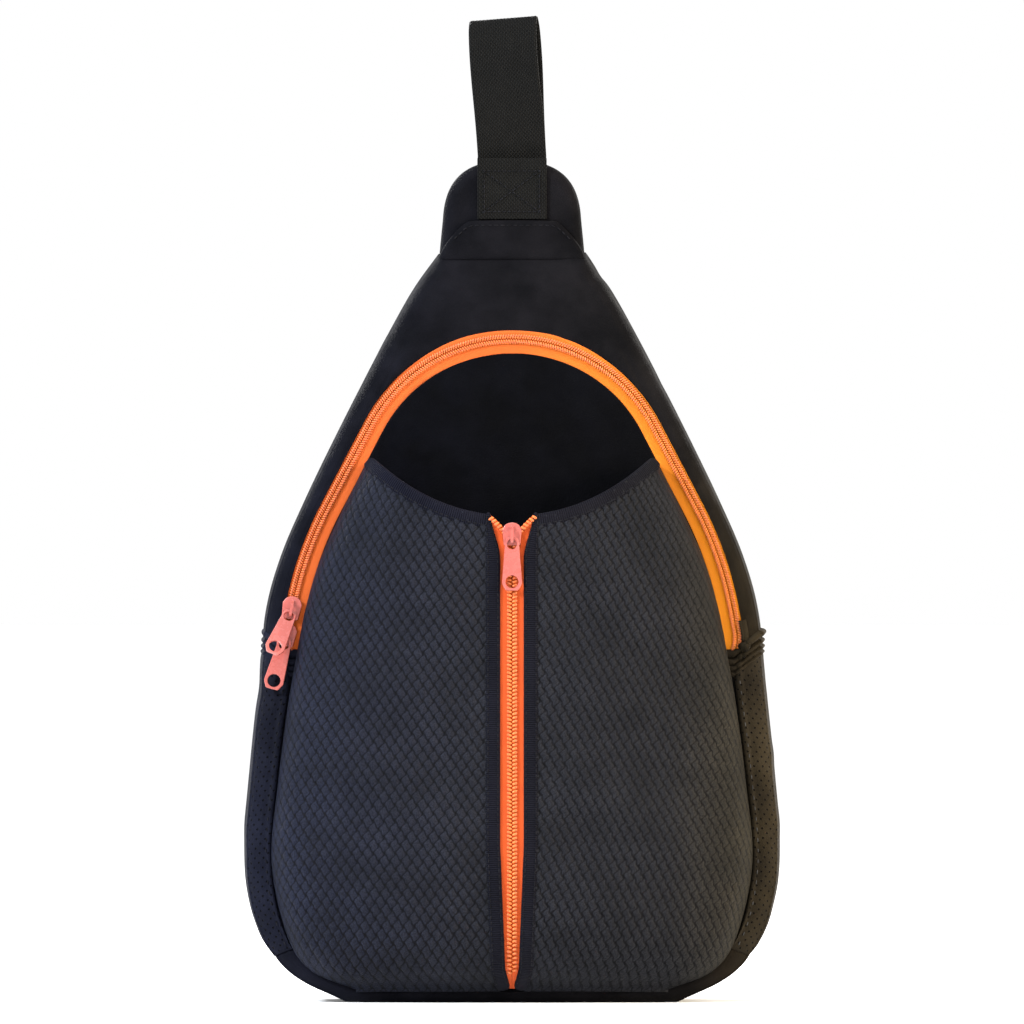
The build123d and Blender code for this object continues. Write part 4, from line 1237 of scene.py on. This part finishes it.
def strap_webbing():
    """The strap's lower webbing: down to the buckle's bar, round it and back up through the adjuster."""
    near, far = WEBBING_LOW[1] + 0.8, WEBBING_HIGH[1] - 0.8
    bar_z, radius = 101.0, (far - near) / 2
    arc = np.linspace(pi, 2 * pi, 16)
    fold = np.stack([(near + far) / 2 + radius * np.cos(arc), bar_z + radius * np.sin(arc)], 1)
    flat = np.vstack([[[near, WEBBING_HIGH[2] + 5]], fold, [[far, 156.0]]])
    obj = webbing_run("strap_webbing_run", flat, 12.4, 1.5)
    dress(obj, "shoulder_strap", "webbing", "strap_webbing")
    z, middle = 74.0, 47.0
    radius = TAB_HIGH[1] - 0.8 - middle
    fold = np.stack([middle - radius * np.cos(arc - pi), z - radius * np.sin(arc - pi)], 1)
    flat = np.vstack([[[Y_BACK + 0.8, TAB_HIGH[2]], [middle - radius, z + 16]], fold,
                      [[middle + radius, z + 17], [Y_BACK + 2.4, TAB_HIGH[2] - 1.5]]])
    obj = webbing_run("anchor_tab_webbing", flat, 12.3, 1.4, (TAB_LOW[0] + TAB_HIGH[0]) / 2)
    dress(obj, "bag", "webbing", "anchor_tab")


shell()
front_cloth()
arch_zip()
for hand in (1, -1):
    pocket_half(hand)
    pocket_hem(hand)
    pocket_binding(hand)
    zip_end(hand)
pocket_zip()
body_seams()
yoke()
grab_loop()
back_cloth()
shoulder_strap()
strap_webbing()

CAD_MATERIALS = {"zip_metal": ENAMEL, "black_plastic": PLASTIC}
slots = {s["node"]: s["material_slot"] for s in frame["record"]["subparts"]}
for node, obj in frame["nodes"].items():
    if slots[node] in CAD_MATERIALS:
        for place in obj.material_slots:
            place.material = CAD_MATERIALS[slots[node]]
        edge = obj.modifiers.new("soft_edge", "BEVEL")
        edge.width = 0.22 * MM
        edge.segments = 2
        edge.limit_method = "ANGLE"
        edge.angle_limit = 0.6


# ---------------------------------------------------------------- stage, camera, light
def stage():
    """A plain pale floor, round, with nothing behind it."""
    turn = np.arange(64) * 2 * pi / 64
    rings = [np.stack([r * np.cos(turn), r * np.sin(turn), np.zeros(64)], axis=1)
             for r in (200, 900, 4000, 30000)]
    n = Nodes("pale_floor")
    colour = n.ramp(n.noise(4.0, 2.0), [(0.3, (0.90, 0.90, 0.90)), (0.7, (0.93, 0.93, 0.93))])
    material = n.finish(colour, 0.9, Emission_Color=(1, 1, 1, 1), Emission_Strength=0.12,
                        Specular_IOR_Level=0.1)
    faces = grid_faces(4, 64, closed=True, flip=True) + [list(range(64))]
    make_mesh("floor", np.vstack(rings), faces, material)


def lamp(name, place, aim, size, power, colour):
    """A round lamp at a place, turned towards a point."""
    light = bpy.data.lights.new(name, "AREA")
    light.shape = "DISK"
    light.size, light.energy, light.color = size, power, colour
    obj = bpy.data.objects.new(name, light)
    obj.location = place
    obj.rotation_euler = (Vector(aim) - Vector(place)).to_track_quat("-Z", "Y").to_euler()
    bpy.context.collection.objects.link(obj)


def studio():
    """Cool light from the left, warm from the right, and a white world."""
    lamp("key_left", (-1.9, -1.3, 1.7), (0, 0, 0.25), 0.5, 120, (0.88, 0.94, 1.0))
    lamp("fill_right", (2.3, -0.7, 0.9), (0, 0, 0.2), 0.6, 90, (1.0, 0.84, 0.62))
    lamp("top", (0, -0.5, 2.4), (0, 0, 0.2), 1.0, 30, (1, 1, 1))
    lamp("back_left", (-1.6, 2.0, 1.5), (0, 0, 0.25), 0.8, 60, (1, 1, 1))
    lamp("back_right", (1.6, 2.2, 1.2), (0, 0, 0.25), 0.8, 40, (1, 0.96, 0.9))
    world = bpy.data.worlds.new("studio")
    world.use_nodes = True
    sky = world.node_tree.nodes["Background"]
    sky.inputs["Color"].default_value = (1, 1, 1, 1)
    sky.inputs["Strength"].default_value = 1.0
    bpy.context.scene.world = world
    bpy.context.scene.view_settings.view_transform = "Standard"


def camera():
    """Level with the middle of the bag, straight in front, from far enough to look flat."""
    height, distance, frame_height = 0.2643, 9.0, 0.5535
    data = bpy.data.cameras.new("camera")
    data.sensor_width = 36
    data.lens = 36 * distance / frame_height
    obj = bpy.data.objects.new("camera", data)
    obj.location = (0, -distance, height)
    obj.rotation_euler = (pi / 2, 0, 0)
    bpy.context.collection.objects.link(obj)
    bpy.context.scene.camera = obj


stage()
studio()
camera()
